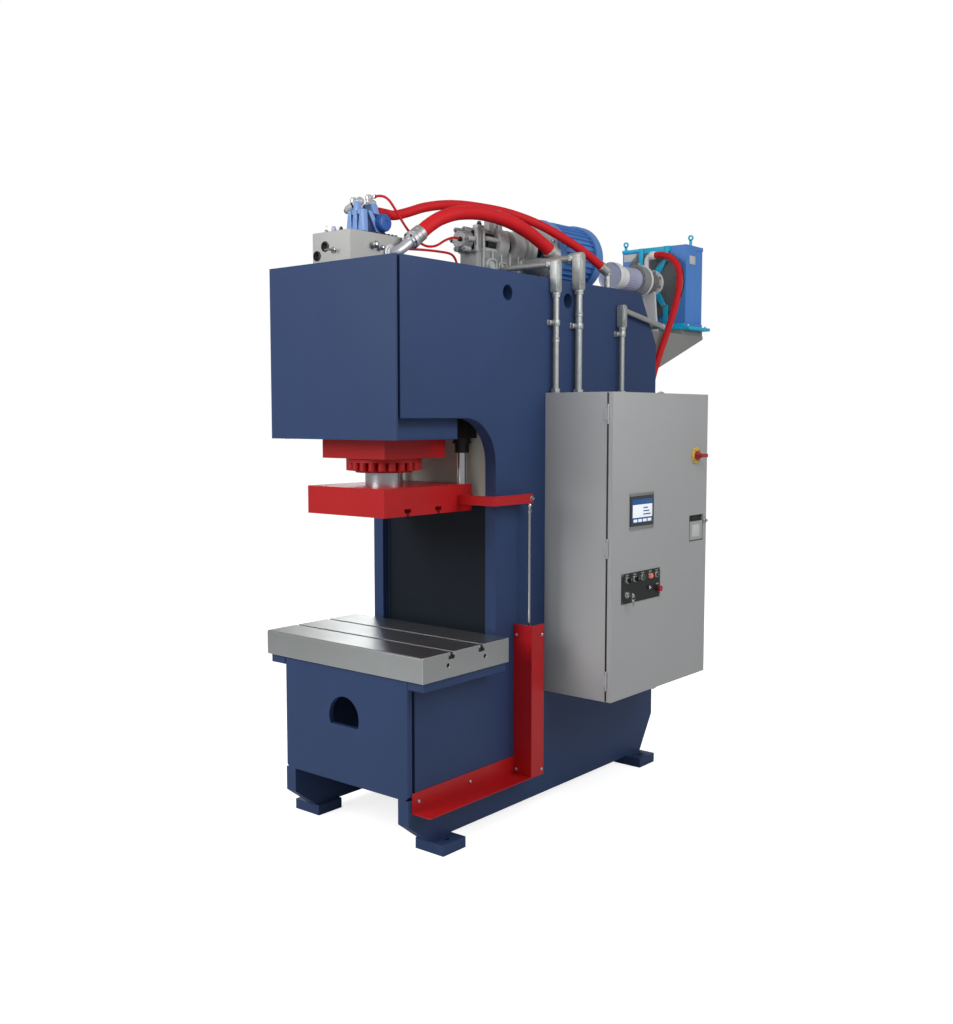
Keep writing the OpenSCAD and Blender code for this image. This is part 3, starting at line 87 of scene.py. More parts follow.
def finish(name, colour, roughness, metallic=0.0, drift=0.05, drift_scale=3.0, grain=0.04,
           grain_scale=(400, 400, 400), coat=0.0, edge=0.002, spread=0.06, glow=0.0, edge_wear_and_highlight=None,
           edge_wear_and_highlight_amount=0.5, gleam=0.4):
    """Makes a material whose colour, roughness and bump all vary in object space."""
    material = bpy.data.materials.new(name)
    material.use_nodes = True
    tree = material.node_tree
    shader = tree.nodes["Principled BSDF"]
    shader.inputs["Metallic"].default_value = metallic
    shader.inputs["Specular IOR Level"].default_value = gleam
    shader.inputs["Coat Weight"].default_value = coat
    shader.inputs["Coat Roughness"].default_value = 0.12
    place = tree.nodes.new("ShaderNodeTexCoord")

    cloud = tree.nodes.new("ShaderNodeTexNoise")
    cloud.inputs["Scale"].default_value = drift_scale
    cloud.inputs["Detail"].default_value = 6
    tree.links.new(place.outputs["Object"], cloud.inputs["Vector"])
    tint = tree.nodes.new("ShaderNodeValToRGB")
    tint.color_ramp.elements[0].position = 0.3
    tint.color_ramp.elements[1].position = 0.7
    tint.color_ramp.elements[0].color = [c * (1 - drift) for c in colour[:3]] + [1]
    tint.color_ramp.elements[1].color = [min(1, c * (1 + drift)) for c in colour[:3]] + [1]
    tree.links.new(cloud.outputs["Fac"], tint.inputs["Fac"])
    shade = tint.outputs["Color"]

    soften = tree.nodes.new("ShaderNodeBevel")
    soften.samples = 4
    soften.inputs["Radius"].default_value = edge
    # Lighter edges: wear on the paints, a painted highlight on the ground steel.
    if edge_wear_and_highlight:
        flat = tree.nodes.new("ShaderNodeNewGeometry")
        lean = tree.nodes.new("ShaderNodeVectorMath")
        lean.operation = "DOT_PRODUCT"
        tree.links.new(soften.outputs["Normal"], lean.inputs[0])
        tree.links.new(flat.outputs["Normal"], lean.inputs[1])
        wear_and_highlight_mask = tree.nodes.new("ShaderNodeMapRange")
        wear_and_highlight_mask.inputs["From Min"].default_value = 0.96
        wear_and_highlight_mask.inputs["From Max"].default_value = 0.8
        wear_and_highlight_mask.inputs["To Max"].default_value = edge_wear_and_highlight_amount
        tree.links.new(lean.outputs["Value"], wear_and_highlight_mask.inputs["Value"])
        wear_and_highlight_mix = tree.nodes.new("ShaderNodeMix")
        wear_and_highlight_mix.data_type = "RGBA"
        tree.links.new(wear_and_highlight_mask.outputs["Result"], wear_and_highlight_mix.inputs[0])
        tree.links.new(shade, wear_and_highlight_mix.inputs[6])
        wear_and_highlight_mix.inputs[7].default_value = edge_wear_and_highlight
        shade = wear_and_highlight_mix.outputs[2]
    tree.links.new(shade, shader.inputs["Base Color"])
    if glow:
        tree.links.new(shade, shader.inputs["Emission Color"])
        shader.inputs["Emission Strength"].default_value = glow

    stretch = tree.nodes.new("ShaderNodeMapping")
    stretch.inputs["Scale"].default_value = grain_scale
    tree.links.new(place.outputs["Object"], stretch.inputs["Vector"])
    fine = tree.nodes.new("ShaderNodeTexNoise")
    fine.inputs["Scale"].default_value = 1.0
    fine.inputs["Detail"].default_value = 3
    tree.links.new(stretch.outputs["Vector"], fine.inputs["Vector"])
    gloss = tree.nodes.new("ShaderNodeMapRange")
    gloss.inputs["To Min"].default_value = max(0.02, roughness - spread)
    gloss.inputs["To Max"].default_value = min(1.0, roughness + spread)
    tree.links.new(fine.outputs["Fac"], gloss.inputs["Value"])
    tree.links.new(gloss.outputs["Result"], shader.inputs["Roughness"])

    bump = tree.nodes.new("ShaderNodeBump")
    bump.inputs["Strength"].default_value = grain
    bump.inputs["Distance"].default_value = 0.002
    tree.links.new(fine.outputs["Fac"], bump.inputs["Height"])
    tree.links.new(soften.outputs["Normal"], bump.inputs["Normal"])
    tree.links.new(bump.outputs["Normal"], shader.inputs["Normal"])
    return material


print("mid grey in linear light:", round(srgb(128, 128, 128)[0], 3))

# %% Paints
paint = {
    "navy": finish("navy_paint", srgb(45, 65, 104), 0.46, drift=0.04, grain=0.03, edge=0.004,
                   edge_wear_and_highlight=srgb(74, 92, 132), edge_wear_and_highlight_amount=0.35, gleam=0.28),
    # Painted shade: the frame's navy darkened to near black for the throat's back plate.
    "dark": finish("dark_paint", srgb(22, 30, 40), 0.55, gleam=0.2),
    "grey": finish("grey_enclosure_paint", srgb(172, 173, 174), 0.5, drift=0.015, grain=0.06,
                   grain_scale=(900, 900, 900), edge=0.003, gleam=0.3),
    "shelf": finish("shelf_grey_paint", srgb(140, 140, 138), 0.5, drift=0.04),
    "pale_panel": finish("pale_grey_panel", srgb(216, 217, 206), 0.55),
    "mounting": finish("white_mounting_panel", srgb(214, 214, 210), 0.45),
    "red": finish("gloss_red_paint", srgb(180, 22, 26), 0.38, coat=0.1, edge=0.003,
                  edge_wear_and_highlight=srgb(208, 70, 70), edge_wear_and_highlight_amount=0.4, gleam=0.35),
    "blue": finish("motor_blue_paint", srgb(84, 136, 202), 0.36, coat=0.2, grain=0.1),
    "cooler_blue": finish("cooler_blue_paint", srgb(80, 140, 218), 0.4, edge=0.003),
    "light_blue": finish("valve_blue_paint", srgb(126, 162, 220), 0.38, coat=0.2, grain=0.12),
    "deep_blue": finish("cover_blue_paint", srgb(40, 88, 164), 0.36, coat=0.2, grain=0.12),
    "painted_shade_blue": finish("valve_painted_shade_blue", srgb(30, 52, 112), 0.5, grain=0.12),
    "teal": finish("teal_paint", srgb(20, 186, 226), 0.42),
    "white": finish("pale_pump_paint", srgb(236, 236, 238), 0.4, grain=0.1),
    "warm_grey": finish("cast_body_paint", srgb(146, 148, 148), 0.46, drift=0.06, grain=0.2),
    "lavender": finish("lavender_cowl_paint", srgb(176, 178, 206), 0.4, grain=0.06),
    "pale_lavender": finish("pale_lavender_paint", srgb(232, 232, 246), 0.4, grain=0.06),
}
print("paints:", len(paint))

# %% [markdown]
# ## Bare metals and plastics
# Ground steel shows fine lines along the path of the wheel, so its grain noise is stretched along X.
# Rods are polished along their length, castings are pitted, zinc on the conduits is spangled.

# %% Metals and plastics
LINES_X = (6, 700, 700)
LINES_Y = (500, 30, 500)
LINES_Z = (500, 500, 8)
metal = {
    # The ground steel's near-white edge colour is a painted highlight.
    "ground": finish("ground_steel", srgb(182, 185, 185), 0.34, 1.0, drift=0.06, grain=0.08,
                     grain_scale=LINES_X, edge=0.005, edge_wear_and_highlight=srgb(250, 250, 250), edge_wear_and_highlight_amount=1.0),
    "milled": finish("milled_steel", srgb(182, 182, 180), 0.42, 0.7, drift=0.05, grain=0.06,
                     grain_scale=LINES_Y),
    "chrome": finish("hard_chrome", srgb(218, 220, 222), 0.24, 1.0, drift=0.03, grain=0.02,
                     grain_scale=LINES_Z),
    "satin": finish("satin_steel", srgb(206, 208, 212), 0.4, 0.6, drift=0.04, grain=0.03),
    "galvanised": finish("galvanised_steel", srgb(182, 186, 184), 0.42, 0.65, drift=0.1, drift_scale=60),
    "cast": finish("cast_iron_grey", srgb(178, 181, 180), 0.5, 0.2, drift=0.1, drift_scale=25, grain=0.3),
    # Painted shade on castings: a mid grey for half shade, then a dark grey for gaps and recesses.
    "half_shade_cast": finish("casting_painted_half_shade", srgb(140, 142, 142), 0.5, 0.3, drift=0.12, drift_scale=25,
                       grain=0.3),
    "shade_cast": finish("casting_painted_shade", srgb(48, 50, 52), 0.5, 0.4, drift=0.15, drift_scale=25,
                        grain=0.3),
    "black": finish("black_oxide", srgb(44, 42, 42), 0.42, 0.5),
    "nickel": finish("nickel_plate", srgb(200, 200, 198), 0.25, 1.0, drift=0.04),
    "screw": finish("zinc_screw", srgb(190, 192, 194), 0.3, 0.9, drift=0.06),
    "mesh": finish("wire_mesh", srgb(150, 156, 158), 0.5, 0.3, drift=0.1),
}
plastic = {
    "black": finish("black_plastic", srgb(34, 36, 36), 0.42, drift=0.1),
    "bezel": finish("bezel_plastic", srgb(58, 64, 72), 0.45, drift=0.06),
    "green": finish("green_lens", srgb(40, 92, 70), 0.25, coat=0.4),
    "lit": finish("lit_lens", srgb(240, 84, 56), 0.25, coat=0.4, glow=0.7),
    "red": finish("red_plastic", srgb(178, 32, 40), 0.34, coat=0.3),
    "yellow": finish("yellow_plastic", srgb(226, 192, 84), 0.4, coat=0.2),
    "pale": finish("pale_label_plate", srgb(206, 206, 204), 0.5, drift=0.03),
    "screen_white": finish("screen_white", srgb(232, 238, 246), 0.2, drift=0.02, glow=0.35),
    "screen_blue": finish("screen_blue", srgb(40, 84, 140), 0.2, drift=0.06, glow=0.25),
    "hose": finish("red_hose_cover", srgb(204, 26, 34), 0.58, drift=0.06, drift_scale=12, grain=0.06,
                   grain_scale=(250, 250, 250), edge=0.001, gleam=0.22),
}
print("metals and plastics:", len(metal) + len(plastic))

# %% [markdown]
# ## Hoses
# Red hoses carry oil from the pump set to the valve and from the cooler to the tank. A hose could be
# simulated, but these are short and stiff with both ends screwed down, so each follows listed points,
# smoothed the same way as its solid. A curve with a round bevel keeps the true diameter.

# %% Smooth routes and the hose maker
def smooth_route(points, steps):
    """Runs a smooth line through the points, with straight first and last tangents, in metres."""
    points = [Vector(p) / 1000 for p in points]
    last = len(points) - 1
    line = []
    for i in range(last):
        start, stop = points[i], points[i + 1]
        chord = (stop - start).length
        pull = (stop - start) if i == 0 else (stop - points[i - 1]).normalized() * chord
        push = (stop - start) if i == last - 1 else (points[i + 2] - start).normalized() * chord
        for k in range(steps):
            t = k / steps
            line.append((2 * t**3 - 3 * t**2 + 1) * start + (t**3 - 2 * t**2 + t) * pull
                        + (3 * t**2 - 2 * t**3) * stop + (t**3 - t**2) * push)
    return line + [points[last]]


HOSE_STEPS = 4


def hose(name, points, diameter):
    """Lays a round hose along a route."""
    line = smooth_route(points, HOSE_STEPS)
    curve = bpy.data.curves.new(name, "CURVE")
    curve.dimensions = "3D"
    curve.bevel_depth = diameter / 2
    curve.bevel_resolution = 6
    curve.use_fill_caps = True
    spline = curve.splines.new("POLY")
    spline.points.add(len(line) - 1)
    for point, place in zip(spline.points, line):
        point.co = (*place, 1)
    spline.use_smooth = True
    tube = bpy.data.objects.new(name, curve)
    bpy.context.scene.collection.objects.link(tube)
    curve.materials.append(plastic["hose"])
    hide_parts(name.replace("_curve", ""))
    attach(tube, "frame")


# %% Lay the five hoses and lines
PREFILL_ROUTE = [(110, -620, 2822), (117, -568, 2861), (128, -500, 2901), (144, -390, 2938),
                 (162, -220, 2955), (182, -40, 2938), (200, 100, 2897), (215, 185, 2856), (226, 232, 2827)]
RETURN_ROUTE = [(-26, -720, 2908), (-26, -665, 2908), (-20, -585, 2930), (0, -465, 2972), (24, -300, 3004),
                (52, -100, 3014), (98, 80, 3002), (162, 245, 2960), (230, 400, 2890), (276, 520, 2826),
                (300, 605, 2776)]
COOLER_ROUTE = [(168, 1400, 2932), (212, 1400, 2930), (262, 1400, 2914), (306, 1397, 2882), (336, 1390, 2832),
                (351, 1373, 2762), (361, 1322, 2640), (368, 1235, 2500), (366, 1145, 2350), (354, 1090, 2220),
                (341, 1073, 2120), (336, 1070, 2060)]
PILOT_ROUTE = [(-35, -775, 2980), (-12, -775, 2980), (16, -771, 2974), (36, -761, 2959), (46, -744, 2935),
               (50, -704, 2889), (53, -654, 2838), (54, -596, 2798), (46, -520, 2777), (32, -430, 2789),
               (20, -345, 2827), (14, -278, 2848), (14, -224, 2848)]
PUMP_LINE_ROUTE = [(30, -690, 2750), (30, -652, 2750), (35, -600, 2753), (46, -520, 2757), (58, -440, 2758),
                   (62, -370, 2757), (62, -338, 2749), (62, -315, 2726), (62, -306, 2694), (62, -306, 2670)]
hose("prefill_hose_curve", PREFILL_ROUTE, 0.068)
hose("return_hose_curve", RETURN_ROUTE, 0.046)
hose("cooler_hose_curve", COOLER_ROUTE, 0.038)
hose("pilot_line_curve", PILOT_ROUTE, 0.012)
hose("pump_line_curve", PUMP_LINE_ROUTE, 0.012)

# %% [markdown]
# ## Studio
# The press stands on a plain pale floor under soft light, as for a catalogue. A white backdrop alone
# would flatten the paint, so four soft boxes do the lighting: a big one over the front, a weaker one for
# the right side, a small one that lifts the fittings on the head, and one for the rear. The world and
# the floor look nearly white to the camera but give the press only a weak, even light.

# %% Floor, world and lamps
FLOOR = 40
FLOOR_TONE, FLOOR_LIFT = 0.68, 0.8
WORLD_LIGHT, WORLD_SEEN = 0.34, 1.0
floor_mesh = bpy.data.meshes.new("studio_floor")
floor_mesh.from_pydata([(-FLOOR, -FLOOR, 0), (FLOOR, -FLOOR, 0), (FLOOR, FLOOR, 0), (-FLOOR, FLOOR, 0)], [],
                       [(0, 1, 2, 3)])
floor = bpy.data.objects.new("studio_floor", floor_mesh)
bpy.context.scene.collection.objects.link(floor)
floor_paint = finish("pale_floor", (FLOOR_TONE, FLOOR_TONE, FLOOR_TONE, 1), 0.9, drift=0.01, grain=0.0,
                     gleam=0.1)
floor_mesh.materials.append(floor_paint)
floor_tree = floor_paint.node_tree
floor_shader = floor_tree.nodes["Principled BSDF"]
floor_shader.inputs["Emission Color"].default_value = (1, 1, 1, 1)
seen = floor_tree.nodes.new("ShaderNodeLightPath")
lift = floor_tree.nodes.new("ShaderNodeMapRange")
lift.inputs["To Min"].default_value = 0.0
lift.inputs["To Max"].default_value = FLOOR_LIFT
floor_tree.links.new(seen.outputs["Is Camera Ray"], lift.inputs["Value"])
floor_tree.links.new(lift.outputs["Result"], floor_shader.inputs["Emission Strength"])

world = bpy.data.worlds.new("studio_world")
bpy.context.scene.world = world
world.use_nodes = True
world_tree = world.node_tree
sky = world_tree.nodes["Background"]
sky.inputs["Color"].default_value = (1, 1, 1, 1)
ray = world_tree.nodes.new("ShaderNodeLightPath")
strength = world_tree.nodes.new("ShaderNodeMapRange")
strength.inputs["To Min"].default_value = WORLD_LIGHT
strength.inputs["To Max"].default_value = WORLD_SEEN
world_tree.links.new(ray.outputs["Is Camera Ray"], strength.inputs["Value"])
world_tree.links.new(strength.outputs["Result"], sky.inputs["Strength"])
bpy.context.scene.view_settings.view_transform = "Standard"


def lamp(name, place, target, size, watts):
    """A square soft box that faces a point."""
    light = bpy.data.lights.new(name, "AREA")
    light.size = size
    light.energy = watts
    thing = bpy.data.objects.new(name, light)
    thing.location = place
    thing.rotation_euler = (Vector(target) - Vector(place)).to_track_quat("-Z", "Y").to_euler()
    thing.visible_camera = False
    bpy.context.scene.collection.objects.link(thing)


lamp("front_soft_box", (-1.2, -6.0, 4.0), (0, -0.8, 1.5), 3.0, 226)
lamp("right_soft_box", (6.0, 1.1, 4.6), (0.6, 0.5, 1.6), 3.0, 106)
lamp("head_soft_box", (2.0, -0.8, 3.2), (0.4, -0.75, 2.4), 0.9, 17)
lamp("rear_soft_box", (-4.5, 5.0, 4.5), (0, 0.6, 2.0), 3.0, 120)

# %% [markdown]
# ## Dressing the solids
# The solids keep their shapes and only change their finish: each node's material slots get one of the
# finishes above.

# %% Give each solid its finish
coats = {
    paint["navy"]: "side_plate_left side_plate_right head_front_plate cylinder_housing deck_plate rear_plate "
                   "bed_plate base_front_plate foot_pads",
    # The throat's back plate is navy painted near black, as painted shade deep in the throat.
    paint["dark"]: "throat_back_plate",
    paint["pale_panel"]: "throat_upper_panel",
    paint["red"]: "ram_flange gland_ring gland_screws platen sensor_arm cable_guard",
    paint["grey"]: "cabinet_body cabinet_door latch_handle",
    paint["shelf"]: "cooler_shelf",
    paint["blue"]: "motor",
    metal["ground"]: "bolster",
    metal["milled"]: "manifold_block sensor_tube",
    metal["chrome"]: "ram_rod guide_rods sensor_rod",
    metal["galvanised"]: "conduit_pipes",
    metal["cast"]: "bell_housing cylinder_barrel",
    metal["black"]: "guide_blocks drive_coupling",
    metal["nickel"]: "manifold_handle",
    plastic["black"]: "button_panel selector_left selector_right cooler_fan",
    plastic["green"]: "green_button return_button",
    plastic["lit"]: "lit_button",
    plastic["red"]: "stop_button",
}
for material, names in coats.items():
    for name in names.split():
        mesh = nodes[name].data
        mesh.materials.clear()
        mesh.materials.append(material)
print("dressed:", sum(len(names.split()) for names in coats.values()), "solids")

# %% [markdown]
# ## Mesh helpers
# The added pieces are built from a few workshop shapes: bevelled boxes, turned profiles, bent tubes and
# cut plates. Primitives from the Add menu would do, but turning a profile gives chamfers and grooves in
# one go, and one mesh per piece keeps the scene easy to follow.

# %% Boxes, turned shapes, tubes and plates
AXES = {"x": Vector((1, 0, 0)), "y": Vector((0, 1, 0)), "z": Vector((0, 0, 1)),
        "-x": Vector((-1, 0, 0)), "-y": Vector((0, -1, 0)), "-z": Vector((0, 0, -1))}


def way(axis):
    """Takes an axis by its name, or a direction as it is."""
    return AXES[axis] if isinstance(axis, str) else axis


def turns(count):
    """Equal angles round a circle."""
    return [2 * math.pi * k / count for k in range(count)]


def spoke(angle):
    """The way out from a shaft that lies along Y."""
    return Vector((math.cos(angle), 0, math.sin(angle)))


def box(bm, low, high, bevel=2, coat=0):
    """A box between two corners with rounded edges."""
    low, high = Vector(low) / 1000, Vector(high) / 1000
    before = set(bm.faces)
    made = bmesh.ops.create_cube(bm, size=1, matrix=Matrix.Translation((low + high) / 2)
                                 @ Matrix.Diagonal((*(high - low), 1)))["verts"]
    if bevel:
        edges = list(dict.fromkeys(e for v in made for e in v.link_edges))
        bmesh.ops.bevel(bm, geom=edges, offset=bevel / 1000, segments=2, profile=0.5, affect="EDGES")
    for face in set(bm.faces) - before:
        face.material_index = coat


def turned(bm, place, axis, profile, sides=32, coat=0):
    """Turns a profile of (distance along, radius) pairs about an axis."""
    turn = Vector((0, 0, 1)).rotation_difference(way(axis)).to_matrix().to_4x4()
    turn = Matrix.Translation(Vector(place) / 1000) @ turn
    rings = []
    for along, radius in profile:
        if radius <= 0:
            rings.append([bm.verts.new(turn @ Vector((0, 0, along / 1000)))])
            continue
        rings.append([bm.verts.new(turn @ Vector((radius * math.cos(a) / 1000, radius * math.sin(a) / 1000,
                                                  along / 1000))) for a in turns(sides)])
    faces = []
    for lower, upper in zip(rings, rings[1:]):
        for k in range(sides):
            j = (k + 1) % sides
            if len(lower) == 1 and len(upper) > 1:
                faces.append(bm.faces.new((lower[0], upper[j], upper[k])))
            elif len(upper) == 1 and len(lower) > 1:
                faces.append(bm.faces.new((lower[k], lower[j], upper[0])))
            elif len(lower) > 1:
                faces.append(bm.faces.new((lower[k], lower[j], upper[j], upper[k])))
    if len(rings[0]) > 1:
        faces.append(bm.faces.new(rings[0][::-1]))
    if len(rings[-1]) > 1:
        faces.append(bm.faces.new(rings[-1]))
    for face in faces:
        face.material_index = coat


def loop(bm, place, axis, profile, sides=48, coat=0):
    """Turns a closed profile, such as a ring's section, about an axis."""
    before = set(bm.faces)
    turned(bm, place, axis, list(profile) + [profile[0]], sides, coat)
    caps = [f for f in bm.faces if f not in before and len(f.verts) == sides]
    bmesh.ops.delete(bm, geom=caps, context="FACES_ONLY")
    new_points = [v for v in bm.verts if not all(f in before for f in v.link_faces)]
    bmesh.ops.remove_doubles(bm, verts=new_points, dist=1e-7)


def tube(bm, line, radius, sides=20, coat=0):
    """Sweeps a round bar of some radius (mm) along points in metres."""
    side = None
    rings = []
    for i, point in enumerate(line):
        ahead = (line[min(i + 1, len(line) - 1)] - line[max(i - 1, 0)]).normalized()
        if side is None:
            side = ahead.orthogonal().normalized()
        side = (side - ahead * side.dot(ahead)).normalized()
        other = ahead.cross(side)
        rings.append([bm.verts.new(point + radius / 1000 * (math.cos(a) * side + math.sin(a) * other))
                      for a in turns(sides)])
    faces = [bm.faces.new((a[k], a[(k + 1) % sides], b[(k + 1) % sides], b[k]))
             for a, b in zip(rings, rings[1:]) for k in range(sides)]
    faces += [bm.faces.new(rings[0][::-1]), bm.faces.new(rings[-1])]
    for face in faces:
        face.material_index = coat


def plate(bm, outline, axis, start, stop, bevel=1.5, coat=0):
    """Cuts a plate to an outline: (y, z) points along x, (x, z) along y or (x, y) along z."""
    def corner(point, along):
        a, b = point
        return Vector({"x": (along, a, b), "y": (a, along, b), "z": (a, b, along)}[axis]) / 1000
    before = set(bm.faces)
    lower = [bm.verts.new(corner(p, start)) for p in outline]
    upper = [bm.verts.new(corner(p, stop)) for p in outline]
    count = len(outline)
    faces = [bm.faces.new((lower[k], lower[(k + 1) % count], upper[(k + 1) % count], upper[k]))
             for k in range(count)]
    faces += [bm.faces.new(lower[::-1]), bm.faces.new(upper)]
    if bevel:
        rim = list(dict.fromkeys(e for f in faces[-2:] for e in f.edges))
        bmesh.ops.bevel(bm, geom=rim, offset=bevel / 1000, segments=2, profile=0.5, affect="EDGES")
    for face in set(bm.faces) - before:
        face.material_index = coat


def rounded(low, high, radius, steps=5):
    """Outline of a rectangle with round corners."""
    (x0, y0), (x1, y1) = low, high
    corners = [(x1 - radius, y1 - radius, 0), (x0 + radius, y1 - radius, 90), (x0 + radius, y0 + radius, 180),
               (x1 - radius, y0 + radius, 270)]
    return [(x + radius * math.cos(math.radians(a + 90 * k / steps)),
             y + radius * math.sin(math.radians(a + 90 * k / steps)))
            for x, y, a in corners for k in range(steps + 1)]


print("shapes:", [shape.__name__ for shape in (box, turned, loop, tube, plate)])

# %% Fasteners and the piece maker
def hex_nut(bm, place, axis, across, height, coat=0):
    """A hexagon nut or bolt head with chamfered ends."""
    r = across / math.sqrt(3)
    turned(bm, place, axis, [(0, r * 0.93), (height * 0.12, r), (height * 0.88, r), (height, r * 0.9)], 6,
           coat)


def hex_screw(bm, place, axis, across, coat=0):
    """A hexagon head on a washer."""
    turned(bm, place, axis, [(0, across * 0.72), (across * 0.12, across * 0.72)], 24, coat)
    hex_nut(bm, Vector(place) + way(axis) * across * 0.12, axis, across, across * 0.6, coat)


def cap_screw(bm, place, axis, head, coat=0):
    """A round socket-head screw with its recess."""
    r = head / 2
    turned(bm, place, axis, [(0, r), (head * 0.55, r), (head * 0.62, r * 0.9), (head * 0.62, r * 0.55),
                             (head * 0.3, r * 0.5), (head * 0.28, 0)], 18, coat)


def pan_screw(bm, place, axis, head, coat=0):
    """A low domed screw head."""
    r = head / 2
    turned(bm, place, axis, [(0, r), (head * 0.12, r), (head * 0.26, r * 0.78), (head * 0.32, r * 0.4),
                             (head * 0.2, r * 0.3), (head * 0.2, 0)], 18, coat)


def around(count, radius, start=0):
    """Places on a bolt circle, as pairs of offsets."""
    return [(radius * math.cos(math.radians(start + 360 * k / count)),
             radius * math.sin(math.radians(start + 360 * k / count))) for k in range(count)]


def piece(name, bm, finishes, body="frame", replaces=(), crease=35):
    """Turns a finished mesh into a piece that rides on a body."""
    bmesh.ops.recalc_face_normals(bm, faces=bm.faces)
    mesh = bpy.data.meshes.new(name)
    bm.to_mesh(mesh)
    bm.free()
    for material in finishes:
        mesh.materials.append(material)
    mesh.shade_smooth()
    mesh.set_sharp_from_angle(angle=math.radians(crease))
    thing = bpy.data.objects.new(name, mesh)
    bpy.context.scene.collection.objects.link(thing)
    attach(thing, body)
    if replaces:
        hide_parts(*replaces)
    print(name, "faces:", len(mesh.polygons))


print("fasteners:", [head.__name__ for head in (hex_nut, hex_screw, cap_screw, pan_screw)])

# %% [markdown]
# ## Guard screws and the sensor joint
# The red sheet guard is held by zinc screws near its edges, and the platen's arm ends in a ball joint.
# They are small turned heads, set on the faces of the solids that they hold.

# %% Guard screws and ball joint
HALF = 406  # from the press's middle to the outside of a side plate
GUARD_OUT = 517
ARM_HEIGHT = 1569
bm = bmesh.new()
for z in (235, 905):
    pan_screw(bm, (424, -288, z), "-y", 17)
    pan_screw(bm, (GUARD_OUT, -206, z), "x", 17)
for y in (-977, -621):
    pan_screw(bm, (HALF + 4, y, 254), "x", 17)
piece("guard_screws", bm, [metal["screw"]])

bm = bmesh.new()
hex_screw(bm, (474, -238.5, ARM_HEIGHT), "x", 17)
turned(bm, (461.5, -238.5, 1547), "-z", [(0, 9), (5, 9), (6, 6), (9, 6)], 24)
hex_nut(bm, (461.5, -238.5, 1512), "-z", 19, 12)
piece("sensor_joint", bm, [metal["nickel"]], "ram")

bm = bmesh.new()
for y in (-501, -449):
    cap_screw(bm, (262, y, ARM_HEIGHT), "x", 14)
piece("arm_screws", bm, [metal["black"]], "ram")

# %% [markdown]
# ## Conduits
# Three steel conduits rise from the cabinet. At the top each turns the corner in a cast body with a
# raised oval cover, and hexagon nuts lock the pipe ends. Castings have no sharp edges, so the outline is
# rounded and the rims are bevelled. Each clamp is a pressed strap with an ear and one bolt.

# %% Conduit bodies, nuts and clamps
CONDUIT_X = 432
CABINET_TOP, SHELF_TOP = 2081, 2457
CONDUITS = [  # place along the press, pipe diameter, body width, body top, body height, clamp height
    (14, 30, 44, 2735, 164, 2412), (212, 36, 50, 2791, 190, 2408), (622, 28, 42, 2560, 122, 2390)]
TO_PUMP = [(20, 2330), (26, 2470)]  # drop of the cross pipe below the body's top, height of the coupling
PUMP_SIDE = 60
bm = bmesh.new()
for i, (y, d, w, top, tall, clamp) in enumerate(CONDUITS):
    r, low, face = d / 2, top - tall, CONDUIT_X + w / 2
    plate(bm, rounded((y - w / 2, low), (y + w / 2, top), w * 0.24), "x", CONDUIT_X - w / 2, face - 4, 5)
    plate(bm, rounded((y - w * 0.36, low + tall * 0.14), (y + w * 0.36, top - tall * 0.1), w * 0.35, 8), "x",
          face - 4, face, 2)
    plate(bm, rounded((y - w * 0.22, low + tall * 0.24), (y + w * 0.22, top - tall * 0.2), w * 0.21, 8), "x",
          face, face + 2, 1)
    for z in (low + tall * 0.19, top - tall * 0.15):
        pan_screw(bm, (face, y, z), "x", 8)
    turned(bm, (CONDUIT_X, y, low - 10), "z", [(0, r + 5), (8, r + 6), (12, r + 5)], 32)
    hex_nut(bm, (CONDUIT_X, y, low - 20), "z", d + 7, 10)
    turned(bm, (CONDUIT_X, y, CABINET_TOP), "z", [(0, r + 8), (4, r + 8), (5, r + 4)], 32)
    hex_nut(bm, (CONDUIT_X, y, CABINET_TOP + 5), "z", d + 12, 16)
    loop(bm, (CONDUIT_X, y, clamp), "z", [(0, r + 0.3), (0, r + 4), (4, r + 5), (24, r + 5), (28, r + 4),
                                          (28, r + 0.3)], 32)
    box(bm, (HALF, y - r - 28, clamp), (HALF + 6, y + r, clamp + 28), 1.5)
    box(bm, (HALF + 6, y - r - 26, clamp + 3), (CONDUIT_X - 4, y - r + 2, clamp + 25), 3)
    hex_screw(bm, (CONDUIT_X - 4, y - r - 13, clamp + 14), "x", 12)
    if i < len(TO_PUMP):
        drop, coupling = TO_PUMP[i]
        back = CONDUIT_X - w / 2
        turned(bm, (back - 12, y, top - drop), "x", [(0, r + 6), (4, r + 8), (14, r + 5)], 32)
        hex_nut(bm, (back - 28, y, top - drop), "x", d + 12, 16)
        hex_nut(bm, (PUMP_SIDE, y, top - drop), "x", d + 14, 20)
        turned(bm, (CONDUIT_X, y, coupling), "z", [(0, r + 1), (1, r + 2), (10, r + 2.5), (12, r + 1.5),
                                                   (14, r + 2.5), (23, r + 2), (24, r + 1)], 32)
box(bm, (252, 1025, SHELF_TOP), (292, 1065, SHELF_TOP + 40), 4)
box(bm, (256, 1029, SHELF_TOP + 40), (288, 1061, SHELF_TOP + 43), 1)
piece("conduit_castings", bm, [metal["galvanised"]], replaces=["conduit_fittings"])

# %% [markdown]
# ## Directional valve
# A cast blue valve sits on the manifold: a core painted dark blue as shade behind three sloped
# shoulders, the middle one the tallest, with a round end cover. Two bright solenoid tubes lean on top,
# each with a plug and a nut. The shoulders are plates cut to a trapezium, because a scaled cube would
# shear the bevels.

# %% Directional valve
MANIFOLD_TOP, MANIFOLD_FRONT, MANIFOLD_SIDE = 2793, -1030, 57
VALVE_TOP, SHOULDER_TOP, VALVE_FOOT = 2943, 2905, 2802
BODY, COVER, SOLENOID, BLACK, PLATED, SHADE_CORE = range(6)  # the finishes' order on this piece
bm = bmesh.new()
box(bm, (-112, -900, MANIFOLD_TOP), (12, -730, 2806), 3, BLACK)
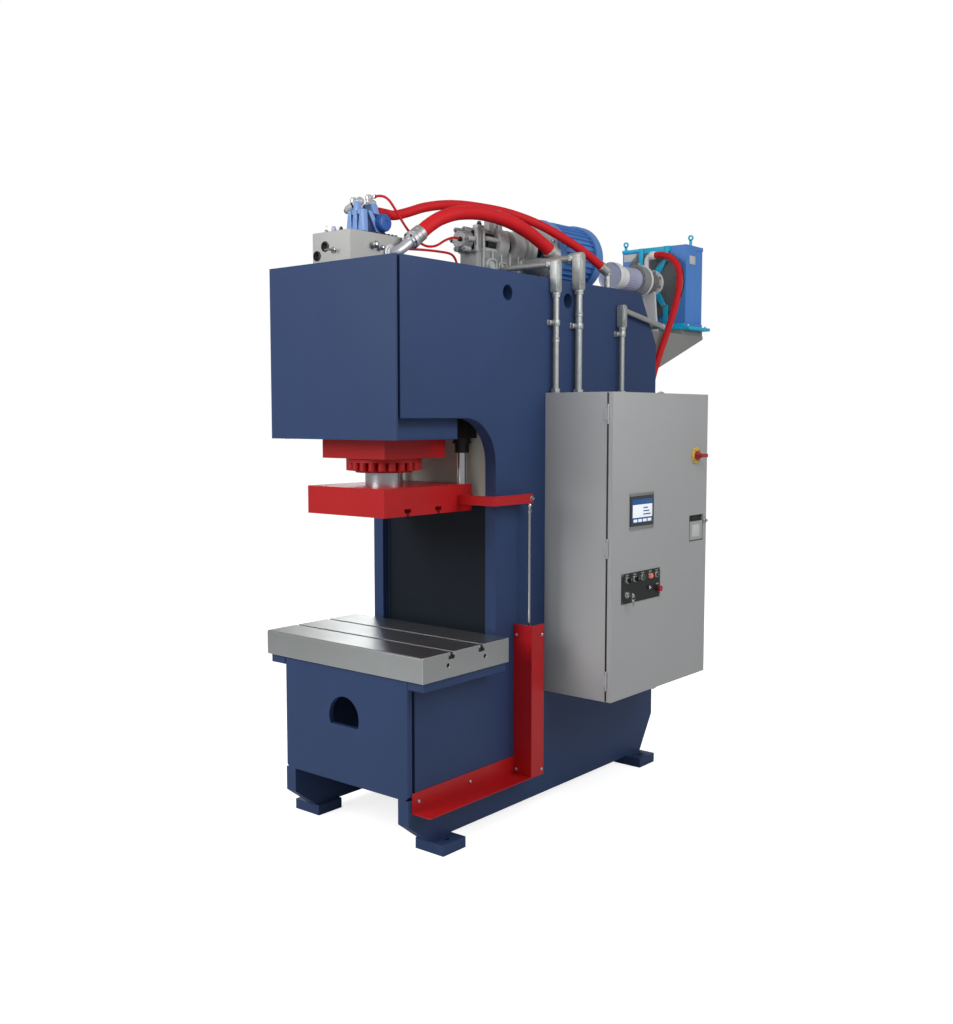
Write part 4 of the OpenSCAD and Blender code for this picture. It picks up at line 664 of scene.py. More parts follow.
# The core and the cross piece above it are painted dark blue as shade between the shoulders.
box(bm, (-96, -884, 2806), (-8, -738, 2896), 4, SHADE_CORE)
for x0, x1, top in ((-106, -70, SHOULDER_TOP), (-68, -34, VALVE_TOP), (-30, 6, SHOULDER_TOP)):
    plate(bm, [(x0, VALVE_FOOT), (x1, VALVE_FOOT), (x1 - 5, top), (x0 + 12, top)], "y", -896, -862, 4,
          BODY)
box(bm, (-92, -890, 2884), (-10, -856, 2908), 5)
plate(bm, [(-106, VALVE_FOOT), (6, VALVE_FOOT), (-10, 2890), (-28, VALVE_TOP), (-72, VALVE_TOP), (-92, 2890)],
      "y", -806, -768, 4)
for x0, x1 in ((-10, 5), (-105, -92)):
    plate(bm, [(-862, 2902), (-838, 2902), (-766, 2804), (-806, 2804)], "x", x0, x1, 2)
for k in range(3):
    box(bm, (-104, -852 + 14 * k, 2815), (-95, -845 + 14 * k, 2860), 2)
turned(bm, (0, -776, 2853), "x", [(0, 42), (8, 43), (12, 40), (28, 40), (35, 35), (37, 26), (37, 12), (34, 10),
                                  (34, 0)], 40, COVER)
for a, b in around(6, 35, 30):
    cap_screw(bm, (12, -776 + a, 2853 + b), "x", 7, BLACK)
lean = Vector((0.934, 0, 0.358))
for x, y, lift in ((-97, -855, -12), (-78, -775, 10)):
    tube_end = Vector((-142, y, 2916))
    turned(bm, tube_end, lean, [(0, 12), (2, 17), (10, 20), (50, 20)], 28, SOLENOID)
    turned(bm, tube_end + lean * 50, lean, [(0, 18), (10, 18)], 28, BLACK)
    turned(bm, tube_end + lean * 60, lean, [(0, 18), (2, 20), (40, 20), (44, 16), (50, 10)], 28, SOLENOID)
    hex_nut(bm, tube_end - lean * 8, lean, 24, 9, BLACK)
    turned(bm, (x, y, 2945 + lift), "z", [(0, 14), (12, 14), (14, 17), (30, 17), (32, 13), (38, 11), (38, 0)],
           24, SOLENOID)
    hex_nut(bm, (x, y, 2965 + lift), "z", 30, 9, SOLENOID)
turned(bm, (-74, -775, 2980), "x", [(0, 7), (30, 7)], 16, SOLENOID)
hex_nut(bm, (-46, -775, 2980), "x", 17, 13, PLATED)
piece("valve_casting", bm, [paint["light_blue"], paint["deep_blue"], metal["satin"], metal["black"],
                            metal["nickel"], paint["painted_shade_blue"]],
      replaces=["directional_valve"])

# %% [markdown]
# ## Manifold fittings
# The steel manifold has plugged ports on its front, cap screws and small caps on its top, and two plated
# ball fittings on its right face. All are turned parts that stand on the block's faces.

# %% Manifold fittings
bm = bmesh.new()
for x, z in ((-102.7, 2728.3), (-156, 2690.1)):
    loop(bm, (x, MANIFOLD_FRONT, z), "-y", [(0, 17), (0, 23), (4, 23), (5, 20), (5, 17)], 32)
    turned(bm, (x, MANIFOLD_FRONT + 14, z), "-y", [(0, 16.5), (6, 16.5), (8, 12), (3, 9), (3, 0)], 24)
for x, y in [(38, -860 + 24 * k) for k in range(7)] + [(-165, -715), (-140, -715)]:
    cap_screw(bm, (x, y, MANIFOLD_TOP), "z", 15)
turned(bm, (-28, -1000, MANIFOLD_TOP), "z", [(0, 8), (14, 8), (16, 5), (20, 5), (20, 0)], 20)
piece("manifold_plugs", bm, [metal["black"]])

bm = bmesh.new()
for y, z, r in ((-885, 2738, 17), (-845, 2728, 12)):
    hex_nut(bm, (MANIFOLD_SIDE, y, z), "x", r * 1.7, 8)
    turned(bm, (MANIFOLD_SIDE + 8, y, z), "x", [(0, r * 0.6), (3, r * 0.9), (8, r), (14, r), (19, r * 0.86),
                                                (23, r * 0.5), (24, 0)], 28)
turned(bm, (-120, -1005, MANIFOLD_TOP), "z", [(0, 9), (6, 9), (8, 5), (30, 5), (32, 3), (32, 0)], 20)
hex_nut(bm, (-120, -1005, MANIFOLD_TOP + 6), "z", 15, 7)
turned(bm, (-44.6, MANIFOLD_FRONT, 2707.7), "-y", [(0, 13), (5, 13), (7, 9), (10, 9)], 24)
hex_nut(bm, PUMP_LINE_ROUTE[0], "y", 20, 10)
piece("manifold_fittings", bm, [metal["nickel"]])

bm = bmesh.new()
turned(bm, (-68, -1008, MANIFOLD_TOP), "z", [(0, 11), (14, 12), (18, 10), (22, 10), (25, 6), (25, 0)], 24)
turned(bm, (-46, -990, MANIFOLD_TOP), "z", [(0, 10), (18, 10), (22, 7), (22, 0)], 24, 1)
piece("manifold_caps", bm, [paint["lavender"], paint["white"]])

# %% [markdown]
# ## Prefill pipe and hose ends
# Oil fills the cylinder through a wide satin pipe that bends up to a flange. Hoses end in crimped
# collars: a sleeve with a pressed groove. The bent parts are tubes swept along an arc, and the collars are
# turned along the way the hose leaves, so that both follow the hose wherever its route goes.

# %% Prefill pipe
def leaving(route):
    """The way a hose leaves its first end."""
    return (Vector(route[1]) - Vector(route[0])).normalized()


def arriving(route):
    """The way a hose comes in at its last end."""
    return (Vector(route[-1]) - Vector(route[-2])).normalized()


def arc(points):
    """A smooth bend through a few points."""
    return smooth_route(points, 8)


DECK = 2646
COLLAR = 60
PREFILL_PORT = (MANIFOLD_SIDE, -775, 2712)
bm = bmesh.new()
prefill_dir = leaving(PREFILL_ROUTE)
prefill_tip = Vector(PREFILL_ROUTE[0]) - prefill_dir * 78
tube(bm, arc([PREFILL_PORT, (72, -766, 2714), (88, -744, 2728), prefill_tip - prefill_dir * 30, prefill_tip]),
     25, 28)
turned(bm, PREFILL_PORT, "x", [(0, 40), (8, 40), (9, 32), (14, 30)], 40)
turned(bm, prefill_tip, prefill_dir, [(-14, 27), (-12, 34), (-2, 34), (0, 42), (8, 42), (9, 39), (10, 42),
                                      (18, 42)], 44)
piece("prefill_elbow", bm, [metal["satin"]], replaces=["prefill_pipe"])

bm = bmesh.new()
across = prefill_dir.orthogonal().normalized()
upward = prefill_dir.cross(across)
for a, b in around(6, 36):
    cap_screw(bm, prefill_tip + across * a + upward * b, -prefill_dir, 10)
piece("prefill_flange_screws", bm, [metal["black"]])


# %% Collars and standpipes
def crimp(bm, place, direction, bore, long=COLLAR):
    """A pressed collar on a hose end, from the hose's end outwards along a direction."""
    r = bore / 2 + 5
    turned(bm, place, direction, [(0, r - 3), (3, r), (26, r), (27, r - 1.5), (30, r - 1.5), (31, r),
                                  (long - 6, r), (long, r - 6)], 36)


def standpipe(bm, place, bore):
    """A bend from a collar down to a flange on the deck."""
    x, y, z = place
    r = bore / 2
    turned(bm, (x, y, DECK), "z", [(0, r + 12), (10, r + 12), (12, r + 9), (12, r), (z - DECK, r)], 36)
    turned(bm, (x, y, z - r - 4), "z", [(0, r), (4, r + 3), (r + 4, r + 3), (bore * 0.85 + 4, bore * 0.42),
                                        (bore + 4, bore * 0.2), (bore + 6, 0)], 36)
    for a, b in around(4, r + 6, 45):
        cap_screw(bm, (x + a, y + b, DECK + 12), "z", 8)


bm = bmesh.new()
crimp(bm, PREFILL_ROUTE[0], -prefill_dir, 68)
for route, bore in ((PREFILL_ROUTE, 68), (RETURN_ROUTE, 46)):
    end, onward = Vector(route[-1]), arriving(route)
    crimp(bm, end, onward, bore)
    standpipe(bm, end + onward * COLLAR, bore - 12)
turned(bm, (-26, -768, 2908), "y", [(0, 20), (4, 23), (48, 23)], 36, 1)
turned(bm, (62, -306, DECK), "z", [(0, 12), (8, 12), (9, 9), (22, 9), (24, 7)], 24)
hex_nut(bm, (62, -306, DECK + 6), "z", 21, 9)
end, onward = Vector(COOLER_ROUTE[-1]), arriving(COOLER_ROUTE)
TANK_PORT = (334, 1020, 1966)
crimp(bm, end, onward, 38)
tube(bm, arc([end + onward * 58, end + onward * 72, end + onward * 92 + Vector((0, -14, 0)), (334, 1034, 1968),
              TANK_PORT]), 18)
turned(bm, TANK_PORT, "y", [(0, 32), (6, 32), (8, 24), (12, 20)], 32)
piece("hose_ends", bm, [metal["milled"], plastic["hose"]], replaces=["hose_fittings"])

# %% Elbow on the cooler's pump
bm = bmesh.new()
crimp(bm, COOLER_ROUTE[0], -leaving(COOLER_ROUTE), 38, 34)
tube(bm, arc([(140, 1400, 2932), (126, 1400, 2929), (113, 1400, 2916), (108, 1400, 2896),
              (108, 1400, 2846)]), 14)
turned(bm, (108, 1400, 2838), "z", [(0, 26), (14, 26), (16, 20), (24, 15)], 32)
piece("cooler_elbow", bm, [paint["white"]], replaces=["hose_fittings"])

# %% [markdown]
# ## Piston pump
# The pump is a grey casting: a round front cover with six lugs and bolts, a ribbed block, a gap with tie
# bars, a stepped barrel with control blocks on top, and round ports on its right. The gap, the recesses and
# the small caps on top are painted dark grey as shade, and the inset middle block, the ring behind the
# cover, the lug bolts and the base are painted a mid grey as half shade. A sculpted mesh would hide how it
# is made, so it is built up from turned parts, bevelled blocks and plates, as the pattern maker would.

# %% Piston pump
SHAFT = 2850
# The third finish paints the pump's gaps, recesses and top caps dark as shade; the fourth paints the inset
# block, the ring behind the cover, the lug bolts and the base mid grey as half shade.
CAST, OXIDE, SHADE_GAP, HALF_SHADE = range(4)  # the finishes' order on this piece
bm = bmesh.new()
turned(bm, (0, -218, SHAFT), "y", [(0, 36), (2, 40), (8, 50), (50, 52)], 40, HALF_SHADE)
turned(bm, (0, -224, SHAFT), "y", [(0, 0), (0, 37), (3, 40), (12, 40)], 40)
for a, b in around(6, 54):
    turned(bm, (a, -216, SHAFT + b), "y", [(0, 11), (2, 14), (44, 14)], 24)
    hex_screw(bm, (a, -216, SHAFT + b), "-y", 13, HALF_SHADE)
for a, b in around(6, 30, 30):
    cap_screw(bm, (a, -224, SHAFT + b), "-y", 6)
turned(bm, (0, -172, SHAFT), "y", [(0, 46), (20, 46)], 32, SHADE_GAP)
for y, half, coat in ((-156, 62, CAST), (-130, 58, HALF_SHADE), (-104, 62, CAST)):
    box(bm, (-half, y, SHAFT - 60), (half, y + 18, SHAFT + 62), 4, coat)
box(bm, (-48, -158, SHAFT - 48), (48, -70, SHAFT + 48), 4, SHADE_GAP)
turned(bm, (0, -84, SHAFT), "y", [(0, 46), (32, 46)], 32, SHADE_GAP)
turned(bm, (0, -56, SHAFT), "y", [(0, 58), (44, 58)], 44, SHADE_GAP)
for a, b in around(7, 64, 12):
    turned(bm, (a, -84, SHAFT + b), "y", [(0, 9), (2, 12), (94, 12)], 20)
turned(bm, (0, -14, SHAFT), "y", [(0, 58), (26, 58)], 44, SHADE_GAP)
turned(bm, (0, 10, SHAFT), "y", [(0, 50), (0, 80), (3, 86), (72, 88), (76, 82), (76, 50)], 44)
turned(bm, (0, 84, SHAFT), "y", [(0, 54), (58, 54)], 44, SHADE_GAP)
turned(bm, (0, 138, SHAFT), "y", [(0, 50), (0, 80), (4, 86), (46, 84), (98, 82)], 44)
turned(bm, (0, 235, SHAFT), "y", [(0, 84), (2, 98), (24, 100), (26, 98)], 44)
for x, y, long, tall in ((-46, -60, 66, 40), (20, -48, 44, 52), (-40, 40, 80, 34), (14, 30, 38, 62)):
    box(bm, (x, y, SHAFT + 54), (x + 36, y + long, SHAFT + 56 + tall), 4)
for x, y in ((-28, -28), (38, -26), (-22, 66), (33, 60)):
    turned(bm, (x, y, SHAFT + 96), "z", [(0, 13), (10, 13), (12, 10), (20, 9), (20, 0)], 20, SHADE_GAP)
    hex_nut(bm, (x, y, SHAFT + 100), "z", 20, 9)
box(bm, (-56, -148, DECK), (56, 233, SHAFT - 34), 6, HALF_SHADE)
for k in range(5):
    y = -110 + 72 * k
    for x in (54, -68):
        box(bm, (x, y, DECK + 4), (x + 14, y + 12, SHAFT - 44), 3)
for y, r in ((-66, 35), (20, 26)):
    turned(bm, (60, y, 2730), "x", [(0, r), (26, r), (28, r - 4), (40, r - 4), (40, r - 12), (30, r - 14),
                                    (30, 0)], 36)
    for a, b in around(4, r - 8, 45):
        cap_screw(bm, (100, y + a, 2730 + b), "x", 7)
turned(bm, (14, -226, 2848), "-y", [(0, 12), (6, 12), (8, 9), (14, 9)], 20, OXIDE)
piece("pump_casting", bm, [metal["cast"], metal["black"], metal["shade_cast"], metal["half_shade_cast"]],
      replaces=["pump"])

# %% [markdown]
# ## Motor and bell housing
# A finned electric motor drives the pump through a bell housing. Its fins are in the solid; bolts round
# the flanges, the slotted grille of the fan cowl and the lid of the terminal box are added.

# %% Motor trim
MOTOR_END = 830
bm = bmesh.new()
for a, b in around(8, 92, 22):
    hex_screw(bm, (a, 276, SHAFT + b), "y", 13)
for a, b in around(8, 142, 22):
    hex_screw(bm, (a, 408, SHAFT + b), "-y", 13)
piece("bell_bolts", bm, [metal["screw"]])

bm = bmesh.new()
for r in range(40, 160, 14):
    loop(bm, (0, MOTOR_END, SHAFT), "y", [(0, r), (0, r + 7), (3, r + 6), (3, r + 1)], 48)
for k in range(6):
    along = spoke(math.radians(60 * k + 30))
    tube(bm, [Vector((0, MOTOR_END + 2, SHAFT)) / 1000 + along * r for r in (0.02, 0.1, 0.165)], 3, 8)
turned(bm, (0, MOTOR_END, SHAFT), "y", [(0, 30), (4, 30), (6, 26), (6, 0)], 32)
for x, y in ((-140, 490), (140, 490), (-140, 671), (140, 671)):
    hex_screw(bm, (x, y, DECK + 20), "z", 20, 1)
box(bm, (-256, 486, SHAFT - 60), (-250, 624, SHAFT + 60), 2)
for y in (496, 614):
    for z in (-48, 48):
        pan_screw(bm, (-256, y, SHAFT + z), "-x", 10, 1)
piece("motor_trim", bm, [paint["blue"], metal["screw"]])

# %% [markdown]
# ## Oil cooler
# The cooler is a blue sheet case with a round mouth. Teal straps frame its front, and it stands on a thin
# teal base with grey packing under it. A grey wire mesh held by teal struts covers the fan, and the rear
# shows the fins of the core, in the dark grey that paints shade on the pump. The mouth is cut with a ring
# of faces between the rectangle and the circle, which keeps the sheet one mesh.

# %% Cooler case
FAN = Vector((110, 1480, 2775))
CASE_LEFT, CASE_RIGHT, CASE_LOW, CASE_HIGH = -112, 332, 2503, 2992
CASE_FRONT, CORE_FRONT, CORE_REAR, CASE_REAR = 1480, 1600, 1682, 1690
SHEET = 4


def holed_front(bm, y, depth, radius, sides=64):
    """A sheet with a round hole: a circle joined to a rectangle of the case's size."""
    def reach(step, middle, low, high):
        if abs(step) <= 1e-9:
            return 1e9
        return ((high if step > 0 else low) - middle) / step

    def ring(angles, along, outside):
        points = []
        for a in angles:
            c, s = math.cos(a), math.sin(a)
            r = radius
            if outside:
                r = min(reach(c, FAN.x, CASE_LEFT, CASE_RIGHT), reach(s, FAN.z, CASE_LOW, CASE_HIGH))
            points.append(bm.verts.new(Vector((FAN.x + r * c, along, FAN.z + r * s)) / 1000))
        return points
    corners = [math.atan2(z - FAN.z, x - FAN.x) for x in (CASE_LEFT, CASE_RIGHT) for z in (CASE_LOW, CASE_HIGH)]
    angles = sorted([-math.pi + 2 * math.pi * k / sides for k in range(sides)] + corners)
    outer = [ring(angles, along, True) for along in (y, y + depth)]
    inner = [ring(angles, along, False) for along in (y, y + depth)]
    pairs = [(outer[0], inner[0]), (outer[1], inner[1]), (outer[0], outer[1]), (inner[0], inner[1])]
    for k in range(len(angles)):
        j = (k + 1) % len(angles)
        for one, two in pairs:
            bm.faces.new((one[k], one[j], two[j], two[k]))


bm = bmesh.new()
holed_front(bm, CASE_FRONT, SHEET, 212)
behind = CASE_FRONT + SHEET
for x in (CASE_LEFT, CASE_RIGHT - SHEET):
    box(bm, (x, behind, CASE_LOW), (x + SHEET, CORE_FRONT, CASE_HIGH), 0.8)
for z in (CASE_LOW, CASE_HIGH - SHEET):
    box(bm, (CASE_LEFT + SHEET, behind, z), (CASE_RIGHT - SHEET, CORE_FRONT, z + SHEET), 0.8)
for z in (CASE_LOW, CASE_HIGH - 27):
    box(bm, (CASE_LEFT, CORE_FRONT, z), (CASE_RIGHT, CORE_REAR, z + 27), 3)
for x in (CASE_LEFT, CASE_RIGHT - 24):
    box(bm, (x, CORE_FRONT, CASE_LOW + 27), (x + 24, CORE_REAR, CASE_HIGH - 27), 3)
for z in (CASE_LOW, CASE_HIGH - 24):
    box(bm, (CASE_LEFT, CORE_REAR, z), (CASE_RIGHT, CASE_REAR, z + 24), 2)
piece("cooler_case", bm, [paint["cooler_blue"]], replaces=["oil_cooler"])

# %% Cooler core
bm = bmesh.new()
for k in range(40):
    x = -86 + 9.9 * k
    box(bm, (x, 1606, CASE_LOW + 27), (x + 3, 1680, CASE_HIGH - 27), 0)
for k in range(10):
    z = 2540 + 44 * k
    box(bm, (CASE_LEFT + 24, 1612, z), (CASE_RIGHT - 24, 1676, z + 8), 1)
# The fins take the dark grey that paints shade.
piece("cooler_core", bm, [metal["shade_cast"]], replaces=["oil_cooler"])

# %% Base, straps, lifting eyes and plates
bm = bmesh.new()
box(bm, (-150, 1444, SHELF_TOP), (330, 1698, 2486), 2, 2)
box(bm, (-162, 1440, 2485), (382, 1702, CASE_LOW), 3)
for x, y, top in ((CASE_LEFT, 1484, 3028), (281, 1590, 3045)):
    plate(bm, rounded((x + 9, 2985), (x + 25, top - 9), 6), "y", y, y + 8, 1)
    loop(bm, (x + 17, y, top), "y", [(0, 9), (0, 17), (8, 17), (8, 9)], 24)
for x in (14, 190):
    box(bm, (x, 1462, 2900), (x + 30, 1468, CASE_HIGH), 1)
    box(bm, (x, 1462, CASE_LOW), (x + 30, 1468, 2640), 1)
box(bm, (14, 1468, 2960), (226, CASE_FRONT, CASE_HIGH), 1)
box(bm, (CASE_LEFT, 1470, 2974), (14, CASE_FRONT, CASE_HIGH), 1)
box(bm, (CASE_LEFT, 1468, CASE_LOW), (CASE_RIGHT, CASE_FRONT, 2524), 1)
for x in (-140, 360):
    for y in (1462, 1680):
        hex_screw(bm, (x, y, CASE_LOW), "z", 15, 1)
piece("cooler_rails_and_eyes", bm, [paint["teal"], metal["screw"], paint["shelf"]],
      replaces=["oil_cooler"])

bm = bmesh.new()
plate(bm, rounded((-104, 2922), (-14, 2966), 3), "y", CASE_FRONT - 2, CASE_FRONT, 0.6)
plate(bm, rounded((1520, 2880), (1590, 2930), 3), "x", CASE_RIGHT, CASE_RIGHT + 2, 0.6)
piece("cooler_plates", bm, [plastic["pale"]])

# %% Fan guard
WIRE = 1.4
bm = bmesh.new()
for k in range(22):
    r = 84 + 6 * k
    loop(bm, (FAN.x, 1470, FAN.z), "y", [(-WIRE, r - WIRE), (-WIRE, r + WIRE), (WIRE, r + WIRE),
                                         (WIRE, r - WIRE)], 64)
middle = Vector((FAN.x, 1473, FAN.z)) / 1000
for k in range(48):
    along = spoke(math.radians(7.5 * k))
    tube(bm, [middle + along * 0.08, middle + along * 0.212], 1.3, 6)
piece("fan_wires", bm, [metal["mesh"]], replaces=["fan_guard"])

bm = bmesh.new()
for sx in (-1, 1):
    for sz, foot in ((1, 2905), (-1, 2635)):
        inner, outer = 110 + sx * 30, 110 + sx * 88
        corners = [(inner - 22 * sx, FAN.z + sz * 62), (inner + 24 * sx, FAN.z + sz * 50),
                   (outer + 14 * sx, foot), (outer - 16 * sx, foot + sz * 6)]
        plate(bm, corners, "y", 1456, 1462, 1)
        hex_screw(bm, (outer - 2 * sx, 1456, foot - sz * 8), "-y", 11, 1)
piece("fan_struts", bm, [paint["teal"], metal["screw"]], replaces=["fan_guard"])

# %% [markdown]
# ## Cooler motor
# A small pale motor drives the cooler's pump and fan in line: a pale end plate with a white rim, a
# ribbed lavender body, a wide grey disc with a white edge, a grooved neck and a bolted flange, on a white
# foot. Each stretch is a turned profile of its own, because each has its own finish.

# %% Cooler motor
WHITE, LAVENDER, GREY, ZINC, PALE = range(5)  # the finishes' order on this piece
neck = [(0, 62)]
for k in range(6):
    neck += [(3 + 19 * k, 58), (5 + 19 * k, 64), (12 + 19 * k, 64), (14 + 19 * k, 57)]
STRETCHES = [  # where it starts along the press, profile of (distance, radius), finish
    (1039, [(0, 62), (8, 62), (10, 66), (64, 66), (66, 62)], WHITE),
    (1103, [(0, 60), (3, 66), (100, 66), (103, 68), (140, 68), (142, 63), (150, 63)], LAVENDER),
    (1250, [(0, 62), (0, 86), (3, 90), (60, 90), (62, 86)], GREY),
    (1310, [(0, 86), (3, 92), (6, 93), (16, 93), (20, 90), (20, 62)], WHITE),
    (1330, neck + [(120, 57)], GREY),
    (1450, [(0, 62), (0, 76), (2, 78), (20, 78), (22, 76)], WHITE)]
bm = bmesh.new()
turned(bm, (FAN.x, 993, FAN.z), "y", [(6, 0), (6, 70), (4, 73)], 48, PALE)
loop(bm, (FAN.x, 993, FAN.z), "y", [(3, 72), (0, 75), (0, 79), (3, 80), (43, 80), (46, 78), (46, 60),
                                    (8, 60)], 48)
for y, profile, coat in STRETCHES:
    turned(bm, (FAN.x, y, FAN.z), "y", profile, 48, coat)
middle = Vector((FAN.x, 1108, FAN.z)) / 1000
for a in turns(28):
    start = middle + spoke(a) * 0.066
    tube(bm, [start, start + Vector((0, 0.092, 0))], 2.2, 6, LAVENDER)
for a, b in around(8, 69, 22):
    hex_screw(bm, (FAN.x + a, 1450, FAN.z + b), "-y", 11, ZINC)
for a, b in around(6, 78, 0):
    cap_screw(bm, (FAN.x + a, 1250, FAN.z + b), "-y", 10, ZINC)
turned(bm, (108, 1400, 2830), "z", [(0, 25), (20, 25), (22, 22)], 32)
plate(bm, [(45, SHELF_TOP), (175, SHELF_TOP), (150, 2720), (70, 2720)], "y", 1423.7, 1439.7, 2)
box(bm, (36, 1397, SHELF_TOP), (184, 1467, SHELF_TOP + 8), 2)
plate(bm, [(1440, SHELF_TOP + 8), (1465, SHELF_TOP + 8), (1444, 2690), (1440, 2690)], "x", 104, 116, 1)
for x in (52, 168):
    hex_screw(bm, (x, 1411, SHELF_TOP + 8), "z", 13, ZINC)
piece("cooler_motor_casting", bm, [paint["white"], paint["lavender"], paint["warm_grey"], metal["screw"],
                                   paint["pale_lavender"]],
      replaces=["cooler_motor"])

# %% [markdown]
# ## Operator screen
# The screen on the door is a dark bezel between two bright bars, with a lit panel behind glass. What it
# shows is generic: a white page between two blue bands, with a few plain fields.

# %% Operator screen
DOOR_FACE = 804
BEZEL, BRIGHT, PAGE, BAND = range(4)  # the finishes' order on this piece
bm = bmesh.new()
box(bm, (DOOR_FACE, 120, 1424), (DOOR_FACE + 7, 339, 1573), 2.5, BEZEL)
for z in (1409, 1573):
    box(bm, (DOOR_FACE, 118, z), (DOOR_FACE + 7, 341, z + 15), 2, BRIGHT)
box(bm, (DOOR_FACE + 4, 136, 1440), (DOOR_FACE + 7.4, 323, 1557), 0.6, BAND)
box(bm, (DOOR_FACE + 4, 138, 1466), (DOOR_FACE + 8, 321, 1530), 0.4, PAGE)
for k in range(4):
    box(bm, (DOOR_FACE + 7, 146 + 44 * k, 1444), (DOOR_FACE + 8.2, 180 + 44 * k, 1458), 0.3, PAGE)
for k in range(3):
    box(bm, (DOOR_FACE + 7, 236, 1478 + 16 * k), (DOOR_FACE + 8.4, 306 - 14 * k, 1484 + 16 * k), 0.3, BAND)
piece("operator_terminal", bm, [plastic["bezel"], metal["nickel"], plastic["screen_white"],
                                plastic["screen_blue"]], "door", ["operator_screen"])

# %% [markdown]
# ## Buttons, keys and switches
# Most controls sit in a bright ring on the black panel, with a small blank legend plate above. The keys
# hang on a wire ring. Turned rings and cut plates are enough at this size.

# %% Button rings, legends and selector marks
def across_panel(share):
    """A place along the press from a share of the button panel's width."""
    return 52 + share * 363


ROW_HIGH, ROW_LOW = 1164, 1092
places = [(across_panel(s), ROW_HIGH) for s in (0.135, 0.325, 0.528, 0.729, 0.902)]
places += [(across_panel(0.124), ROW_LOW), (across_panel(0.925), ROW_LOW)]
bm = bmesh.new()
for y, z in places[:-1]:
    loop(bm, (DOOR_FACE + 3, y, z), "x", [(0, 15.1), (0, 18), (4, 17.5), (7, 16), (7, 15.1)], 32)
    loop(bm, (DOOR_FACE + 11, y, z), "x", [(-0.4, 11.6), (-0.4, 14.6), (0.8, 14), (0.8, 11.6)], 32)
turned(bm, (DOOR_FACE + 11, across_panel(0.686), 1106), "x", [(0, 9), (2, 9), (4, 6), (8, 5), (9, 3),
                                                              (9, 0)], 24)
for y, z in places[:5] + places[6:]:
    box(bm, (DOOR_FACE + 3, y - 13, z + 20), (DOOR_FACE + 4, y + 13, z + 27), 0.3)
for y in (58, 409):
    for z in (1054, 1190):
        pan_screw(bm, (DOOR_FACE + 3, y, z), "x", 7)
piece("button_rings", bm, [metal["nickel"]], "door")

for name, body, (y, z) in (("left_selector_mark", "selector_1", places[0]),
                           ("right_selector_mark", "selector_2", places[1])):
    bm = bmesh.new()
    plate(bm, rounded((y - 4.6, z - 11.5), (y + 4.6, z + 11.5), 3), "x", 828, 832, 1)
    box(bm, (832, y - 1, z), (832.5, y + 1, z + 10), 0.2, 1)
    piece(name, bm, [metal["black"], plastic["pale"]], body)

# %% Keys
bm = bmesh.new()
y = across_panel(0.124)
turned(bm, (DOOR_FACE + 0.3, y, ROW_LOW), "x", [(0, 11), (11, 11), (13, 9), (13, 0)], 28)
plate(bm, [(817, ROW_LOW - 4), (831, ROW_LOW - 4), (831, ROW_LOW + 4), (817, ROW_LOW + 4)], "y",
      y - 1.2, y + 1.2, 0.3)
plate(bm, [(841 + 11 * math.cos(a), ROW_LOW + 12 * math.sin(a)) for a in turns(24)], "y",
      y - 1.25, y + 1.25, 0.4)
ring_middle = Vector((0.8445, y / 1000 + 0.004, (ROW_LOW - 13) / 1000))
tube(bm, [ring_middle + 0.011 * Vector((0.25 * math.cos(a), math.cos(a), math.sin(a))) for a in turns(20)],
     0.9, 6)
BLADE = [(-3, -33), (-3, -54), (0, -57), (3, -54), (3, -50), (1.4, -48), (3, -46), (3, -42), (1.6, -40),
         (3, -38), (3, -33)]
hang_y = y + 6
for dy, drop, lean in ((0, 0, 0), (5, -3, 3)):
    near, far = 838 + dy / 2, 840 + dy / 2
    plate(bm, [(hang_y + dy + 8 * math.cos(a), ROW_LOW - 27 + drop + 8 * math.sin(a)) for a in turns(20)], "x",
          near, far, 0.3)
    plate(bm, [(hang_y + dy + a + lean * (b + 33) / -24, ROW_LOW + b + drop) for a, b in BLADE], "x",
          near, far, 0.2)
piece("keys", bm, [metal["nickel"]], "key", ["key_switch"])

# %% [markdown]
# ## Main disconnect and latch
# A red handle on a yellow disc cuts the mains. The disc is turned with a raised rim; the handle is a
# round base with a tapered grip. Below it the flush latch has a black finger pocket, a bare plate and a
# round lock.

# %% Disconnect
DISC_Y, DISC_Z = 774, 1758
bm = bmesh.new()
turned(bm, (DOOR_FACE, DISC_Y, DISC_Z), "x", [(0, 44), (5, 44), (8, 41), (8, 33), (6.5, 32), (6.5, 0)], 48)
for a, b in around(4, 37, 45):
    pan_screw(bm, (DOOR_FACE + 8, DISC_Y + a, DISC_Z + b), "x", 6, 1)
piece("disconnect_disc", bm, [plastic["yellow"], metal["black"]], "door",
      ["disconnect_plate"])

bm = bmesh.new()
turned(bm, (812.3, DISC_Y, DISC_Z), "x", [(0, 24), (8, 24), (14, 20), (17, 16)], 40)
plate(bm, [(822, DISC_Y - 22), (838, DISC_Y - 33), (856, DISC_Y - 35), (860, DISC_Y - 31), (860, DISC_Y + 31),
           (856, DISC_Y + 35), (838, DISC_Y + 33), (822, DISC_Y + 22)], "z", DISC_Z - 10, DISC_Z + 10, 4)
turned(bm, (812.3, DISC_Y, DISC_Z), "x", [(-5, 14), (0, 14)], 24)
piece("disconnect_grip", bm, [plastic["red"]], "disconnect", ["disconnect_handle"])

